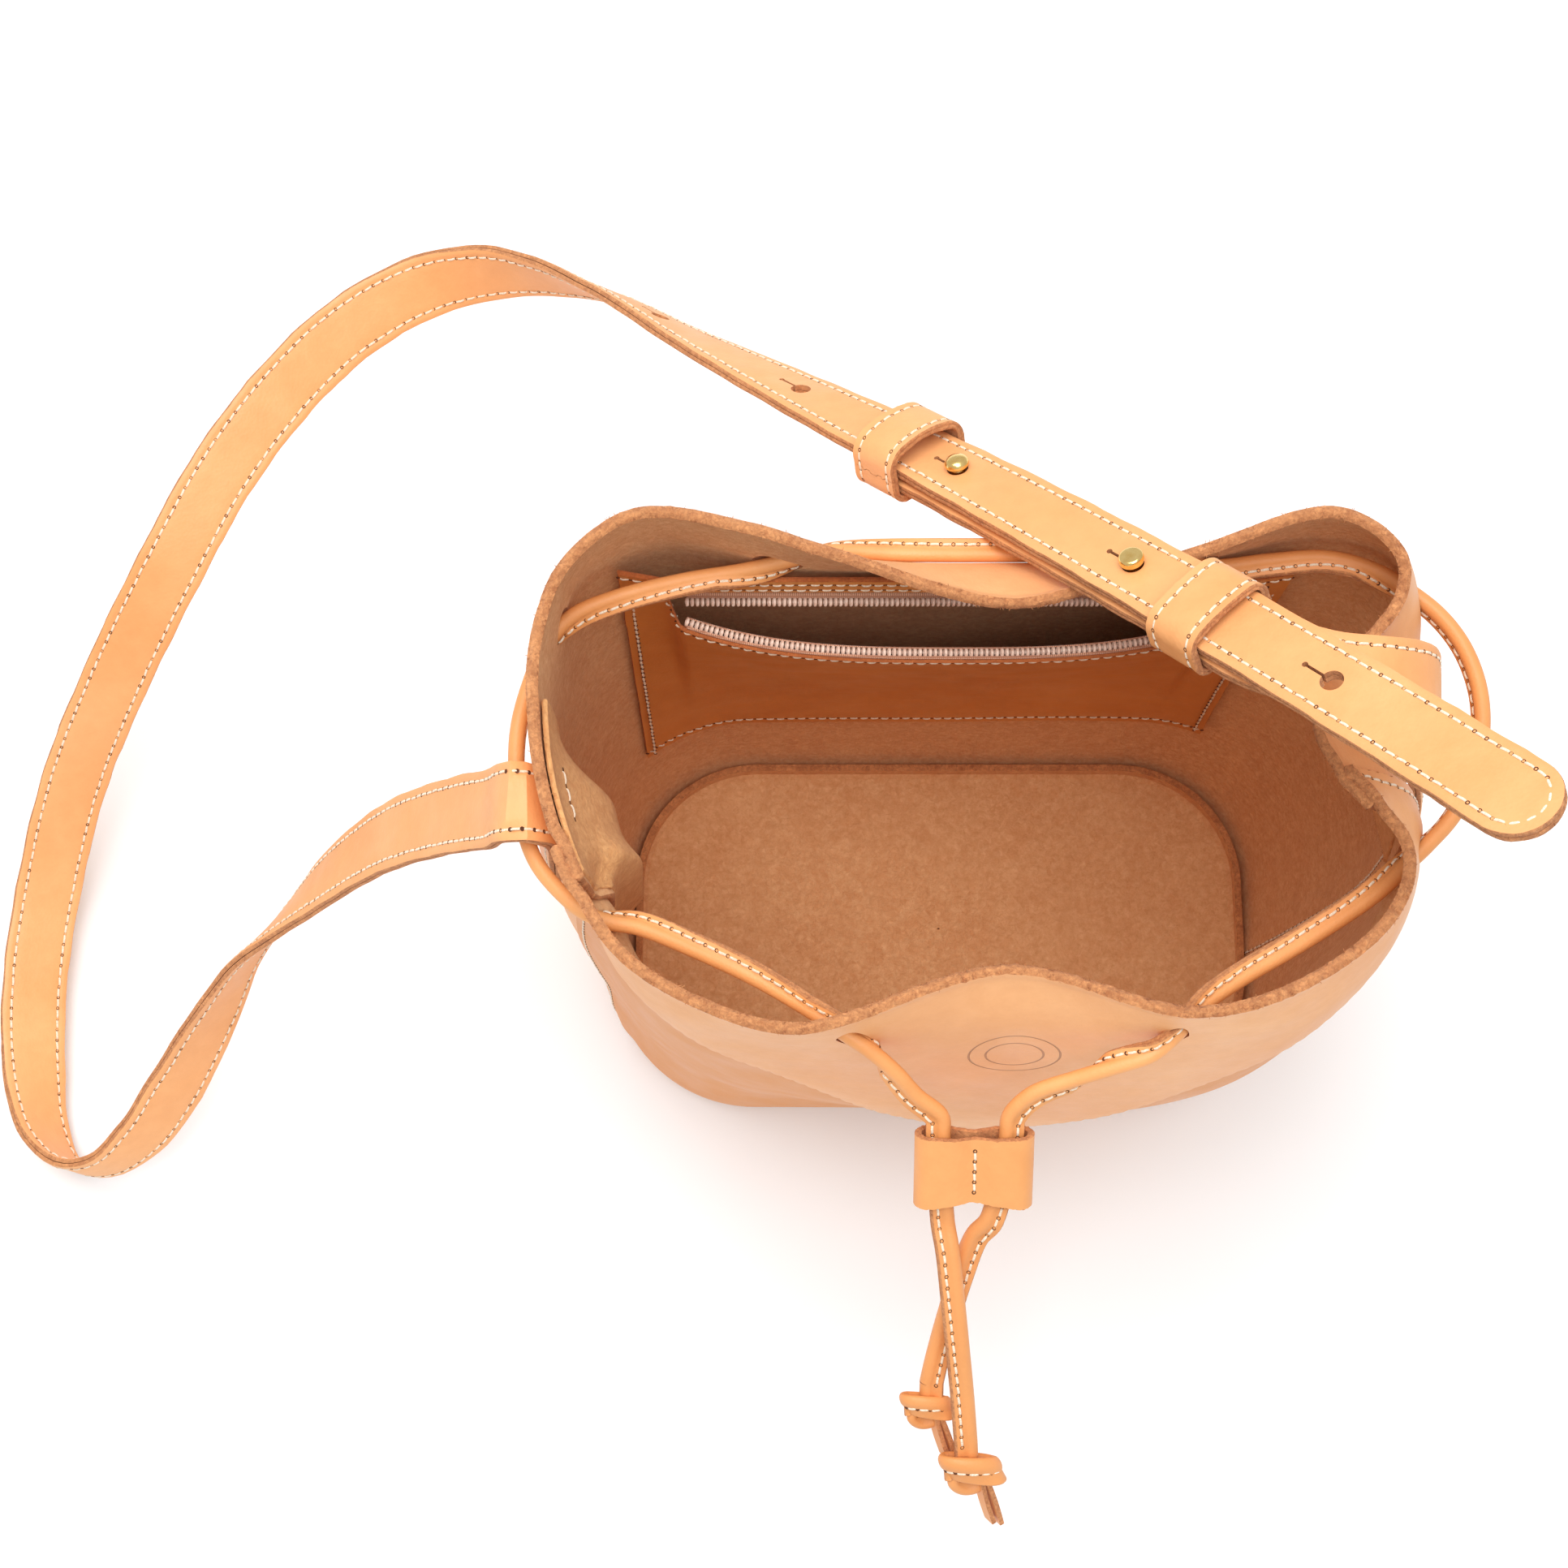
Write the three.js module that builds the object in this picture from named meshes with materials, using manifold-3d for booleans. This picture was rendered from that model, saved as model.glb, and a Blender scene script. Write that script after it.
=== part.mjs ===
// Bucket bag of vegetable-tanned leather, with a drawcord through eight slits, an adjustable buttoned
// shoulder strap and a zipped inner pocket. Millimetres, +Z up, +X to the wearer's right, front at -Y.
// The origin is the middle of the base, on the surface that the bag stands on.
import * as THREE from 'three';
import { mergeVertices } from 'three/addons/utils/BufferGeometryUtils.js';
import Module from 'manifold-3d';

const wasm = await Module();
wasm.setup();

// ---------------------------------------------------------------- driving dimensions
const GAP = 0.3;                                    // air left between pieces that touch
const WALL = 2.2;                                   // leather of the wall
const BASE = { halfX: 102, halfY: 57, corner: 42 };  // outline that meets the ground
const HEEL = { halfX: 105.5, halfY: 60.5, corner: 45, z: 14 };
const BELLY_Z = 115;
const EYELET_Z = 206;                               // height of the drawcord
const SEAM_LEFT_Y = -31;
const SEAM_RIGHT_Y = -10;
const CORD_RADIUS = 2.2;
const STRAP = { width: 20, layer: 1.5 };
const RISE = {                                      // of the long strap over the back rim
  foot: [-106, 172, 120], tip: [110, -40, 306], bow: 5.5, steps: 8,
  footWay: [0.15, 0.35, -0.92], tipWay: [0.48, 0.87, -0.15],
};
const HOLE = { radius: 2.8, slit: 5.6, slitWidth: 0.7, pitch: 66, fromTip: 64, count: 5 };
const SLIDER = {
  centre: [-4, -99, 190], pitchDeg: 35, length: 19, halfWidth: 14.6, halfThick: 4.1, wall: 1.4,
  grooveRadius: 6, grooveDepth: 1,                  // of the waist between its two lobes
};
const KEEPER = { length: 15.5, wall: 2.0, side: 0.8 };
const ZIP = {
  left: -83, right: 70, y: 47.3, z: 190, tiltDeg: 20,
  bow: 10.5,                                        // how far the lower row hangs open in the middle
  toothHalf: 0.75, toothHeight: 0.95, rowOffset: 1.4,
  end: 6.5,                                         // the teeth start this far inside the opening
  sliderX: 56,
};
const POCKET = { left: -94, right: 81, top: 202, stripBottom: 194, bottom: 50, leather: 1.4, space: 1.6 };
const PLATE = 2.4;                                  // leather of the base
const PATCH = { leather: 1.4, clear: 1, halfU: 0.024 };
const TAPE_HALF = 0.3;

// ---------------------------------------------------------------- outlines of the wall
// Each starts at the front middle and runs to the right, the back and the left.
const BELLY = [
  [5, -80], [50, -79], [82, -69], [106, -48], [117, -20], [119, 4], [115, 28], [102, 50], [76, 61],
  [46, 63], [0, 62], [-46, 62], [-78, 60], [-103, 47], [-114, 22], [-116, 0], [-111, -26], [-97, -50],
  [-72, -68], [-38, -77],
];
const EYELETS = [
  [4, -68.5], [44, -71], [76, -66], [99, -47], [108, -22], [103, 6], [112, 40], [106, 57], [86, 62.5],
  [50, 55.5], [4, 53.8], [-50, 55.5], [-84, 61], [-104, 51], [-110.5, 34], [-112.5, 8], [-109.5, -12],
  [-100, -37], [-91, -54], [-72, -67.5], [-34, -71.5],
];
const RIM = [
  [2, -57.5, 228], [46, -68, 229], [71, -62, 230], [95, -44, 230], [100, -27, 229], [81, 7, 223],
  [102, 36, 230], [102, 47, 233], [86, 57.5, 235], [52, 50, 228], [28, 43, 224], [6, 38, 223],
  [-40, 49, 230], [-62, 55, 233], [-88, 57, 235], [-106, 44, 233], [-113, 25, 230], [-113, 4, 229],
  [-110, -14, 228], [-102, -36, 228], [-91, -53, 228],
  [-73, -65, 229], [-48, -72, 229],
];

// ---------------------------------------------------------------- small helpers
const vec = (x, y, z) => new THREE.Vector3(x, y, z);
const mix = THREE.MathUtils.lerp;
const rad = THREE.MathUtils.degToRad;

function signedVolume(geometry) {
  const p = geometry.getAttribute('position');
  const index = geometry.getIndex().array;
  const [a, b, c] = [vec(), vec(), vec()];
  let sum = 0;
  for (let i = 0; i < index.length; i += 3) {
    a.fromBufferAttribute(p, index[i]);
    b.fromBufferAttribute(p, index[i + 1]);
    c.fromBufferAttribute(p, index[i + 2]);
    sum += a.dot(b.cross(c));
  }
  return sum / 6;
}

// The geometry with shared vertices merged and its faces pointing out.
function closed(geometry) {
  const bare = geometry.clone();
  bare.deleteAttribute('normal');
  bare.deleteAttribute('uv');
  const welded = mergeVertices(bare, 1e-4);
  if (signedVolume(welded) < 0) {
    const index = welded.getIndex().array;
    for (let i = 0; i < index.length; i += 3) {
      [index[i], index[i + 1]] = [index[i + 1], index[i]];
    }
  }
  return welded;
}

function solid(geometry) {
  const shell = closed(geometry);
  return new wasm.Manifold(new wasm.Mesh({
    numProp: 3,
    vertProperties: new Float32Array(shell.getAttribute('position').array),
    triVerts: new Uint32Array(shell.getIndex().array),
  }));
}

function geometryOf(manifold) {
  const mesh = manifold.getMesh();
  const geometry = new THREE.BufferGeometry();
  geometry.setAttribute('position', new THREE.BufferAttribute(new Float32Array(mesh.vertProperties), 3));
  geometry.setIndex(new THREE.BufferAttribute(new Uint32Array(mesh.triVerts), 1));
  return geometry;
}

// A sheet of leather: place(u, v) gives a point and a normal, and the sheet fills low..high along them.
function thickSheet(place, columns, rows, low, high, ring = false) {
  const across = ring ? columns : columns + 1;
  const positions = [];
  for (const side of [high, low]) {
    for (let j = 0; j <= rows; j++) {
      for (let i = 0; i < across; i++) {
        const { point, normal } = place(i / columns, j / rows);
        positions.push(...point.clone().addScaledVector(normal, side).toArray());
      }
    }
  }
  const id = (side, i, j) => side * across * (rows + 1) + j * across + (i % across);
  const index = [];
  const quad = (a, b, c, d) => index.push(a, b, c, a, c, d);
  for (let j = 0; j < rows; j++) {
    for (let i = 0; i < columns; i++) {
      quad(id(0, i, j), id(0, i + 1, j), id(0, i + 1, j + 1), id(0, i, j + 1));
      quad(id(1, i, j), id(1, i, j + 1), id(1, i + 1, j + 1), id(1, i + 1, j));
    }
    if (!ring) {
      quad(id(0, 0, j), id(0, 0, j + 1), id(1, 0, j + 1), id(1, 0, j));
      quad(id(0, columns, j), id(1, columns, j), id(1, columns, j + 1), id(0, columns, j + 1));
    }
  }
  for (let i = 0; i < columns; i++) {
    quad(id(0, i, 0), id(1, i, 0), id(1, i + 1, 0), id(0, i + 1, 0));
    quad(id(0, i, rows), id(0, i + 1, rows), id(1, i + 1, rows), id(1, i, rows));
  }
  const geometry = new THREE.BufferGeometry();
  geometry.setAttribute('position', new THREE.Float32BufferAttribute(positions, 3));
  geometry.setIndex(index);
  return closed(geometry);
}

// A round cord along a smooth curve through the points.
function tube(points, radius, steps, sides = 8) {
  const turn = (k) => 2 * Math.PI * k / sides;
  const corners = Array.from({ length: sides }, (_, k) => new THREE.Vector2(
    radius * Math.cos(turn(k)), radius * Math.sin(turn(k))));
  const path = new THREE.CatmullRomCurve3(points.map((p) => vec(...p)), false, 'centripetal');
  path.arcLengthDivisions = 600;
  return closed(new THREE.ExtrudeGeometry(new THREE.Shape(corners), { steps, extrudePath: path }));
}

function roundedRect(halfX, halfY, corner) {
  const path = new THREE.Shape();
  path.moveTo(0, -halfY);
  path.lineTo(halfX - corner, -halfY);
  path.absarc(halfX - corner, -halfY + corner, corner, -Math.PI / 2, 0);
  path.absarc(halfX - corner, halfY - corner, corner, 0, Math.PI / 2);
  path.absarc(-halfX + corner, halfY - corner, corner, Math.PI / 2, Math.PI);
  path.absarc(-halfX + corner, -halfY + corner, corner, Math.PI, 1.5 * Math.PI);
  path.lineTo(0, -halfY);
  return path;
}

function extrudeUp(shape, z0, z1, curveSegments = 8) {
  const geometry = new THREE.ExtrudeGeometry(shape, { depth: z1 - z0, bevelEnabled: false, curveSegments });
  return geometry.translate(0, 0, z0);
}

// A turned piece about +Z from [radius, height] pairs that start and end on the axis.
function turned(profile, segments = 20) {
  const lathe = new THREE.LatheGeometry(profile.map(([r, h]) => new THREE.Vector2(r, h)), segments);
  return lathe.rotateX(Math.PI / 2);
}

const boxAt = (x0, x1, y0, y1, z0, z1) => new THREE.BoxGeometry(x1 - x0, y1 - y0, z1 - z0)
  .translate((x0 + x1) / 2, (y0 + y1) / 2, (z0 + z1) / 2);

// ---------------------------------------------------------------- the wall's outer surface
// u runs round the bag by fraction of length from the front middle, v from the ground (0) to the rim (1).
const plan = (rows, z) => {
  const curve = new THREE.CatmullRomCurve3(rows.map(([x, y, h]) => vec(x, y, h ?? z)), true, 'centripetal');
  curve.arcLengthDivisions = 720;
  return (u) => curve.getPointAt(u);
};
const foot = (d, z) => {
  const path = roundedRect(d.halfX, d.halfY, d.corner);
  return (u) => {
    const p = path.getPoint(u);
    return vec(p.x, p.y, z);
  };
};
const LEVELS = [
  foot(BASE, 0), foot(HEEL, HEEL.z), plan(BELLY, BELLY_Z), plan(EYELETS, EYELET_Z), plan(RIM),
];
const COLUMNS = Array.from({ length: 360 }, (_, i) => new THREE.CatmullRomCurve3(
  LEVELS.map((level) => level(i / 360)), false, 'centripetal'));

function wallPoint(u, v) {
  const place = (u - Math.floor(u)) * COLUMNS.length;
  const i = Math.floor(place) % COLUMNS.length;
  const here = COLUMNS[i].getPoint(v);
  return here.lerp(COLUMNS[(i + 1) % COLUMNS.length].getPoint(v), place - Math.floor(place));
}

function wallPlace(u, v) {
  const step = 0.004;
  const round = wallPoint(u + step, v).sub(wallPoint(u - step, v));
  const up = wallPoint(u, Math.min(1, v + step)).sub(wallPoint(u, Math.max(0, v - step)));
  return { point: wallPoint(u, v), normal: round.cross(up).normalize() };
}

// The fraction of a range at which a rising function reaches a value.
function solve(f, value, low, high) {
  for (let k = 0; k < 30; k++) {
    const middle = (low + high) / 2;
    if (f(middle) < value) low = middle;
    else high = middle;
  }
  return (low + high) / 2;
}

const wallAt = (u, z) => wallPlace(u, solve((v) => wallPoint(u, v).z, z, 0, 1));
// Round the left side y falls as u rises, and round the right side it rises.
const leftU = (y) => solve((u) => -wallAt(u, EYELET_Z).point.y, -y, 0.66, 0.9);
const rightU = (y) => solve((u) => wallAt(u, EYELET_Z).point.y, y, 0.12, 0.34);
const backInnerY = (x, z) => {
  const u = solve((s) => -wallAt(s, z).point.x, -x, 0.33, 0.69);
  return wallAt(u, z).point.y - WALL;
};

// ---------------------------------------------------------------- straps
// A strap's route is rows of centre x, y, z and the direction of its width.
function ribbon(rows) {
  const centre = new THREE.CatmullRomCurve3(rows.map((r) => vec(r[0], r[1], r[2])), false, 'centripetal');
  const ways = rows.map((r) => vec(r[3], r[4], r[5]).normalize());
  const width = new THREE.CatmullRomCurve3(ways, false, 'catmullrom');
  centre.arcLengthDivisions = 900;
  const length = centre.getLength();
  const at = (distance) => {
    const share = Math.min(1, Math.max(0, distance / length));
    const t = centre.getUtoTmapping(share);
    const along = centre.getTangent(t);
    const across = width.getPoint(t);
    across.addScaledVector(along, -across.dot(along)).normalize();
    return { point: centre.getPoint(t), along, across, normal: along.clone().cross(across) };
  };
  return { at, length };
}

// The frame of a ribbon as a matrix: X along it, Y across it, Z out of its face.
function frameAt(route, distance) {
  const { point, along, across, normal } = route.at(distance);
  return new THREE.Matrix4().makeBasis(along, across, normal).setPosition(point);
}

function strapSheet(route, stations, halfWidth, low, high) {
  const place = (u, v) => {
    const distance = stations[Math.round(v * (stations.length - 1))];
    const { point, across, normal } = route.at(distance);
    return { point: point.addScaledVector(across, mix(-1, 1, u) * halfWidth(distance)), normal };
  };
  return thickSheet(place, 1, stations.length - 1, low, high);
}

const evenly = (from, to, count) => Array.from({ length: count + 1 }, (_, i) => mix(from, to, i / count));
const HALF_STRAP = STRAP.layer + GAP / 2;           // half the thickness of a doubled strap

// The level direction along the wall that points to the back on either side of the bag.
const flat = (u, z) => {
  const { normal } = wallAt(u, z);
  const along = vec(-normal.y, normal.x, 0).normalize();
  return along.multiplyScalar(Math.sign(along.y)).toArray();
};

// The long strap is sewn outside the left wall, folds out over the drawcord, hangs in a wide loop and
// rises over the back rim to its rounded tip.
const LEFT_U = leftU(-11.4);
const sewnRow = (u, z, lift) => {
  const { point, normal } = wallAt(u, z);
  point.addScaledVector(normal, GAP + HALF_STRAP + lift);
  return [point.x, point.y, point.z, ...flat(u, z)];
};
// Its last stretch is a straight chord, bowed a little along the strap's width, and it turns from
// edge-on at the foot to face-up at the tip, most of the turn near the foot.
const riseRow = (share) => {
  const left = 1 - share;
  const way = vec(...RISE.tipWay).lerp(vec(...RISE.footWay), left ** 2).normalize();
  const point = vec(...RISE.foot).lerp(vec(...RISE.tip), share);
  point.addScaledVector(way, RISE.bow * 4 * share * left);
  return [...point.toArray(), ...way.toArray()];
};
const LONG_ROWS = [
  ...[168, 182, 196, 207].map((z) => sewnRow(LEFT_U, z, 0)),
  [-113.5, -12, 213, -0.15, 1, 0], [-117, -12, 215.6, -0.1, 1, 0], [-121, -11.4, 211.5, 0, 1, 0],
  [-125.5, -10, 200, 0, 1, 0], [-137, -6.5, 180, 0, 1, 0], [-160, -3.5, 144, 0.05, 1, -0.05],
  [-184, -7, 106, 0.1, 0.9, -0.3], [-203, -15, 79, 0.1, 0.5, -0.7], [-216, -24, 64, 0.05, 0.15, -1],
  [-228, -39, 48, 0.3, -0.1, -0.95], [-241, -57, 34, 0.4, -0.3, -0.87], [-253, -71, 24, 0.35, -0.25, -0.9],
  [-266, -79.5, 18, 0.2, -0.1, -1], [-278, -79, 15.5, 0.2, 0, -1], [-287.5, -67, 13.5, 0.5, 0.1, -0.85],
  [-292.5, -44, 13, 0.8, 0.05, -0.6], [-293.5, -17, 14, 0.87, 0, -0.5], [-290, 9, 19, 0.87, -0.1, -0.5],
  [-279, 39, 38, 0.85, -0.25, -0.5], [-262, 64, 63, 0.8, -0.35, -0.5], [-241, 94, 86, 0.75, -0.45, -0.5],
  [-223, 124, 96, 0.7, -0.5, -0.5], [-205, 149, 99.5, 0.65, -0.55, -0.5], [-186, 170, 99, 0.6, -0.6, -0.55],
  [-164, 184, 99, 0.35, -0.6, -0.7], [-144, 187.5, 102, 0.1, -0.4, -0.9], [-127, 184, 107.5, 0, 0, -1],
  ...evenly(0, 1, RISE.steps).map(riseRow),
];
const LONG = ribbon(LONG_ROWS);
const holeAt = Array.from({ length: HOLE.count }, (_, k) => LONG.length - HOLE.fromTip - k * HOLE.pitch);
const STUD_AT = [holeAt[2], holeAt[1]];
const KEEPER_AT = [STUD_AT[0] - 20, STUD_AT[1] + 25];

// The short strap is sewn outside the right wall and lies under the long one, as far as the first keeper.
const RIGHT_U = rightU(10);
const UNDER = -(2 * HALF_STRAP + 1.3);              // from the long strap's middle to the short strap's
const underRow = (distance) => {
  const { point, across, normal } = LONG.at(distance);
  point.addScaledVector(normal, UNDER);
  return [...point.toArray(), ...across.toArray()];
};
const JOIN_AT = KEEPER_AT[1] + 14;
const SHORT_ROWS = [
  ...[164, 178, 192, 204].map((z) => sewnRow(RIGHT_U, z, 1)),
  [107.5, 10.5, 214, 0, 1, 0], [108, 10.5, 226, 0.05, 1, 0], [104, 10, 240, 0.1, 1, -0.05],
  [92.5, 8.5, 251, 0.25, 0.95, -0.1], [79, 8.5, 256, 0.35, 0.9, -0.2],
  ...evenly(JOIN_AT, KEEPER_AT[0] - 11, 14).map(underRow),
];
const SHORT = ribbon(SHORT_ROWS);

function strapLayers(route, from, to, roundTip) {
  const radius = STRAP.width / 2;
  const tipHalf = (left) => Math.max(3, Math.sqrt(Math.max(0, radius ** 2 - (radius - left) ** 2)));
  const half = (distance) => (roundTip && to - distance < radius ? tipHalf(to - distance) : radius);
  const straight = roundTip ? to - radius : to;
  const tip = roundTip ? [2.5, 5, 7, 8.6, 9.6].map((d) => straight + d) : [];
  const stations = [...evenly(from, straight, Math.round((straight - from) / 11)), ...tip];
  return {
    face: solid(strapSheet(route, stations, half, GAP / 2, HALF_STRAP)),
    lining: solid(strapSheet(route, stations, half, -HALF_STRAP, -GAP / 2)),
  };
}

// A buttonhole is a round hole with a slit behind it, on the side away from the tip.
function buttonhole(matrix) {
  const deep = 4 * STRAP.layer + 2;
  const round = new THREE.CylinderGeometry(HOLE.radius, HOLE.radius, deep, 14).rotateX(Math.PI / 2);
  const half = HOLE.slitWidth / 2;
  const slit = boxAt(-HOLE.radius - HOLE.slit, 0, -half, half, -deep / 2, deep / 2);
  return solid(round).add(solid(slit)).transform(matrix.elements);
}

// ---------------------------------------------------------------- drawcord
const SLIDER_AXIS = vec(0, -Math.cos(rad(SLIDER.pitchDeg)), -Math.sin(rad(SLIDER.pitchDeg)));
const inSlider = (x, t) => [x, ...vec(...SLIDER.centre).addScaledVector(SLIDER_AXIS, t).toArray().slice(1)];
const LOOP_ROUTE = [
  inSlider(-10.8, 9.6), inSlider(-11.8, 0), inSlider(-13, -9.5), inSlider(-14, -14), [-18.5, -83, 202],
  [-24, -78, 207.5], [-30, -73.5, 211.5], [-37, -69, 213], [-45, -63.5, 212.5], [-58, -55.5, 210.5],
  [-74, -47.5, 208], [-87, -42, 206.5], [-94.5, -40.5, 206], [-100.5, -38, 206], [-106, -33.5, 206],
  [-112.3, -26, 206], [-115.7, -18, 206], [-117.4, -9, 206], [-118.5, 0, 206], [-118.2, 10, 206],
  [-116, 20, 206], [-111.5, 32, 206], [-105, 39.5, 206], [-94, 44.5, 206], [-77, 49, 206],
  [-61, 51.8, 206], [-50, 54.5, 206], [-40, 57.3, 206], [-22, 57, 206], [4, 56.6, 206],
  [28, 57, 206], [40, 57.5, 206], [50, 55, 206], [59, 52.8, 206], [74, 54.4, 206],
  [89, 55.2, 206], [101, 51.8, 206], [109.5, 46.2, 206], [117, 39.5, 206], [122.5, 31, 206],
  [125.6, 20, 206], [125.4, 8, 206], [122, -4, 206], [116.5, -13.5, 206], [109.5, -21, 206],
  [103.5, -26.5, 206], [96, -33.5, 207], [77, -46, 208], [60, -56, 210], [50, -63, 212],
  [44, -69.5, 213], [38, -74.5, 212.5], [30, -77, 210.5], [20, -79.5, 206.5], [12, -83.5, 202],
  inSlider(7.3, -14), inSlider(6, -9.5), inSlider(3.6, 0), inSlider(1.1, 9.6),
];
const TAIL_START = 9.9;
const LEFT_TAIL = [
  inSlider(-10.8, TAIL_START), inSlider(-10.2, 16), [-9, -118.5, 178.2], [-7.6, -129, 172.2],
  [-6, -141, 164], [-4.2, -154, 153.5], [-3, -165, 145.5],
];
const RIGHT_TAIL = [
  inSlider(1.1, TAIL_START), inSlider(-0.4, 15), [-3.6, -114.5, 177.2], [-7.2, -124, 168.6],
  [-10.2, -134, 160.8], [-12.8, -144, 153.5], [-14, -149.5, 149.5],
];
const KNOT_RADIUS = 5.2;
const KNOTS = {
  knot_left: { centre: [-14, -155, 145.5], end: [-8, -168, 136] },
  knot_right: { centre: [-2.6, -170.5, 141.5], end: [4, -184.5, 130] },
};

// An overhand knot as one round mass with the cord's short end below it.
function knot({ centre, end }) {
  const ball = new THREE.SphereGeometry(KNOT_RADIUS, 16, 10).translate(...centre);
  return solid(ball).add(solid(tube([centre, end], CORD_RADIUS, 3)));
}

function sliderBody() {
  const lobe = SLIDER.halfWidth / 2;
  const outline = (inset) => {
    const halfX = SLIDER.halfWidth - inset;
    const halfY = SLIDER.halfThick - inset;
    return roundedRect(halfX, halfY, halfY - 0.01);
  };
  const bore = (side) => {
    const halfY = SLIDER.halfThick - SLIDER.wall;
    const halfX = lobe - SLIDER.wall;
    const shape = roundedRect(halfX, halfY, halfY - 0.01);
    return solid(extrudeUp(shape, -SLIDER.length, SLIDER.length, 6).translate(side * lobe, 0, 0));
  };
  const waist = (side) => {
    const { grooveRadius: radius, grooveDepth: depth } = SLIDER;
    const groove = new THREE.CylinderGeometry(radius, radius, 2 * SLIDER.length, 20).rotateX(Math.PI / 2);
    return solid(groove.translate(0, side * (SLIDER.halfThick + radius - depth), 0));
  };
  const body = solid(extrudeUp(outline(0), -SLIDER.length / 2, SLIDER.length / 2, 6))
    .subtract(bore(-1)).subtract(bore(1)).subtract(waist(-1)).subtract(waist(1));
  const across = vec(1, 0, 0);
  const matrix = new THREE.Matrix4().makeBasis(across, SLIDER_AXIS.clone().cross(across), SLIDER_AXIS);
  return body.transform(matrix.setPosition(...SLIDER.centre).elements);
}

// ---------------------------------------------------------------- inner pocket and its zip
const TILT = rad(ZIP.tiltDeg);
const ZIP_DOWN = vec(0, -Math.cos(TILT), -Math.sin(TILT));   // from the upper row of teeth to the lower
const ZIP_OUT = vec(0, -Math.sin(TILT), Math.cos(TILT));
const zipMiddle = (ZIP.left + ZIP.right) / 2;
const zipHalf = (ZIP.right - ZIP.left) / 2;
const share = (x) => Math.abs(x - zipMiddle) / zipHalf;      // 1 at the ends of the zip
const bow = (x) => ZIP.bow * Math.max(0, 1 - share(x) ** 3);
const onZip = (x, down, out = 0) => vec(x, ZIP.y, ZIP.z)
  .addScaledVector(ZIP_DOWN, down).addScaledVector(ZIP_OUT, out);

// A strip along the zip between two distances down from its middle line.
function zipStrip(near, far, low, high, bowed, columns) {
  const place = (u, v) => {
    const x = mix(ZIP.left + ZIP.end, ZIP.right - ZIP.end, u);
    return { point: onZip(x, mix(near, far, v) + (bowed ? bow(x) : 0)), normal: ZIP_OUT };
  };
  return thickSheet(place, columns, 1, low, high);
}

function lowerTape() {
  const place = (u, v) => {
    const x = mix(ZIP.left + ZIP.end, ZIP.right - ZIP.end, u);
    const point = onZip(x, ZIP.rowOffset + bow(x), -1.3);
    point.add(vec(0, 1.6 * v, -7 * v));
    return { point, normal: vec(0, 1, 0) };
  };
  return thickSheet(place, 24, 1, -0.25, 0.25);
}

const stripY = (x) => 50 + 14 * Math.max(0, share(x) - 1);

function pocketPanel() {
  const forward = vec(0, -1, 0);
  const strip = thickSheet((u, v) => {
    const x = mix(POCKET.left, POCKET.right, u);
    return { point: vec(x, stripY(x), mix(POCKET.stripBottom, POCKET.top, v)), normal: forward };
  }, 40, 1, -POCKET.leather, 0);
  const lower = thickSheet((u, v) => {
    const x = mix(POCKET.left, POCKET.right, u);
    const lip = onZip(x, ZIP.rowOffset + ZIP.toothHalf + 2 + bow(x));
    const open = Math.min(1, Math.max(0, (1 - share(x)) * 20));
    const top = vec(x, mix(stripY(x), lip.y, open), mix(POCKET.stripBottom + 1, lip.z, open));
    const z = mix(top.z, POCKET.bottom, v);
    const rest = backInnerY(x, z) - POCKET.leather - POCKET.space;
    const lean = backInnerY(x, top.z) - POCKET.leather - POCKET.space - top.y;
    return { point: vec(x, rest - lean * (1 - v) ** 1.6, z), normal: forward };
  }, 40, 7, -POCKET.leather, 0);
  return solid(strip).add(solid(lower));
}

const zipMatrix = new THREE.Matrix4().makeBasis(vec(1, 0, 0), ZIP_DOWN.clone().negate(), ZIP_OUT)
  .setPosition(onZip(ZIP.sliderX, 0));

// Both are drawn with X along the zip, Y up the panel and Z out of the zip.
const ZIP_SLIDER = {
  halfLength: 4.5, halfWidth: 3.3, inside: 1.6, outside: 2.3, guide: 0.6, guideReach: 1,
  wedge: { start: 4.4, end: 2.9, half: 0.35 },
  bridge: { inner: 2.1, outer: 2.9, half: 0.6, foot: 2, under: 3.7, top: 4.4 },
};
const ZIP_PULL = {
  low: 2.65, high: 3.35, pin: 0.35, halfWidth: 2, arm: 0.8, armEnd: 6, plateStart: 5, tip: 16,
};

function zipSlider() {
  const { halfLength: long, halfWidth: wide, inside, outside, guide, guideReach, wedge, bridge } = ZIP_SLIDER;
  const top = boxAt(-long, long, -wide, wide, inside, outside);
  const parts = [
    boxAt(-long, long, -wide, wide, -outside, -inside),
    boxAt(-wedge.start, -wedge.end, -wedge.half, wedge.half, -inside - 0.4, inside + 0.4),
    boxAt(-long, long, wide - guide, wide, inside - guideReach, inside + 0.1),
    boxAt(-long, long, wide - guide, wide, -inside - 0.1, guideReach - inside),
    boxAt(-bridge.outer, -bridge.inner, -bridge.half, bridge.half, bridge.foot, bridge.top),
    boxAt(bridge.inner, bridge.outer, -bridge.half, bridge.half, bridge.foot, bridge.top),
    boxAt(-bridge.outer, bridge.outer, -bridge.half, bridge.half, bridge.under, bridge.top),
  ];
  return parts.reduce((body, part) => body.add(solid(part)), solid(top)).transform(zipMatrix.elements);
}

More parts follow.
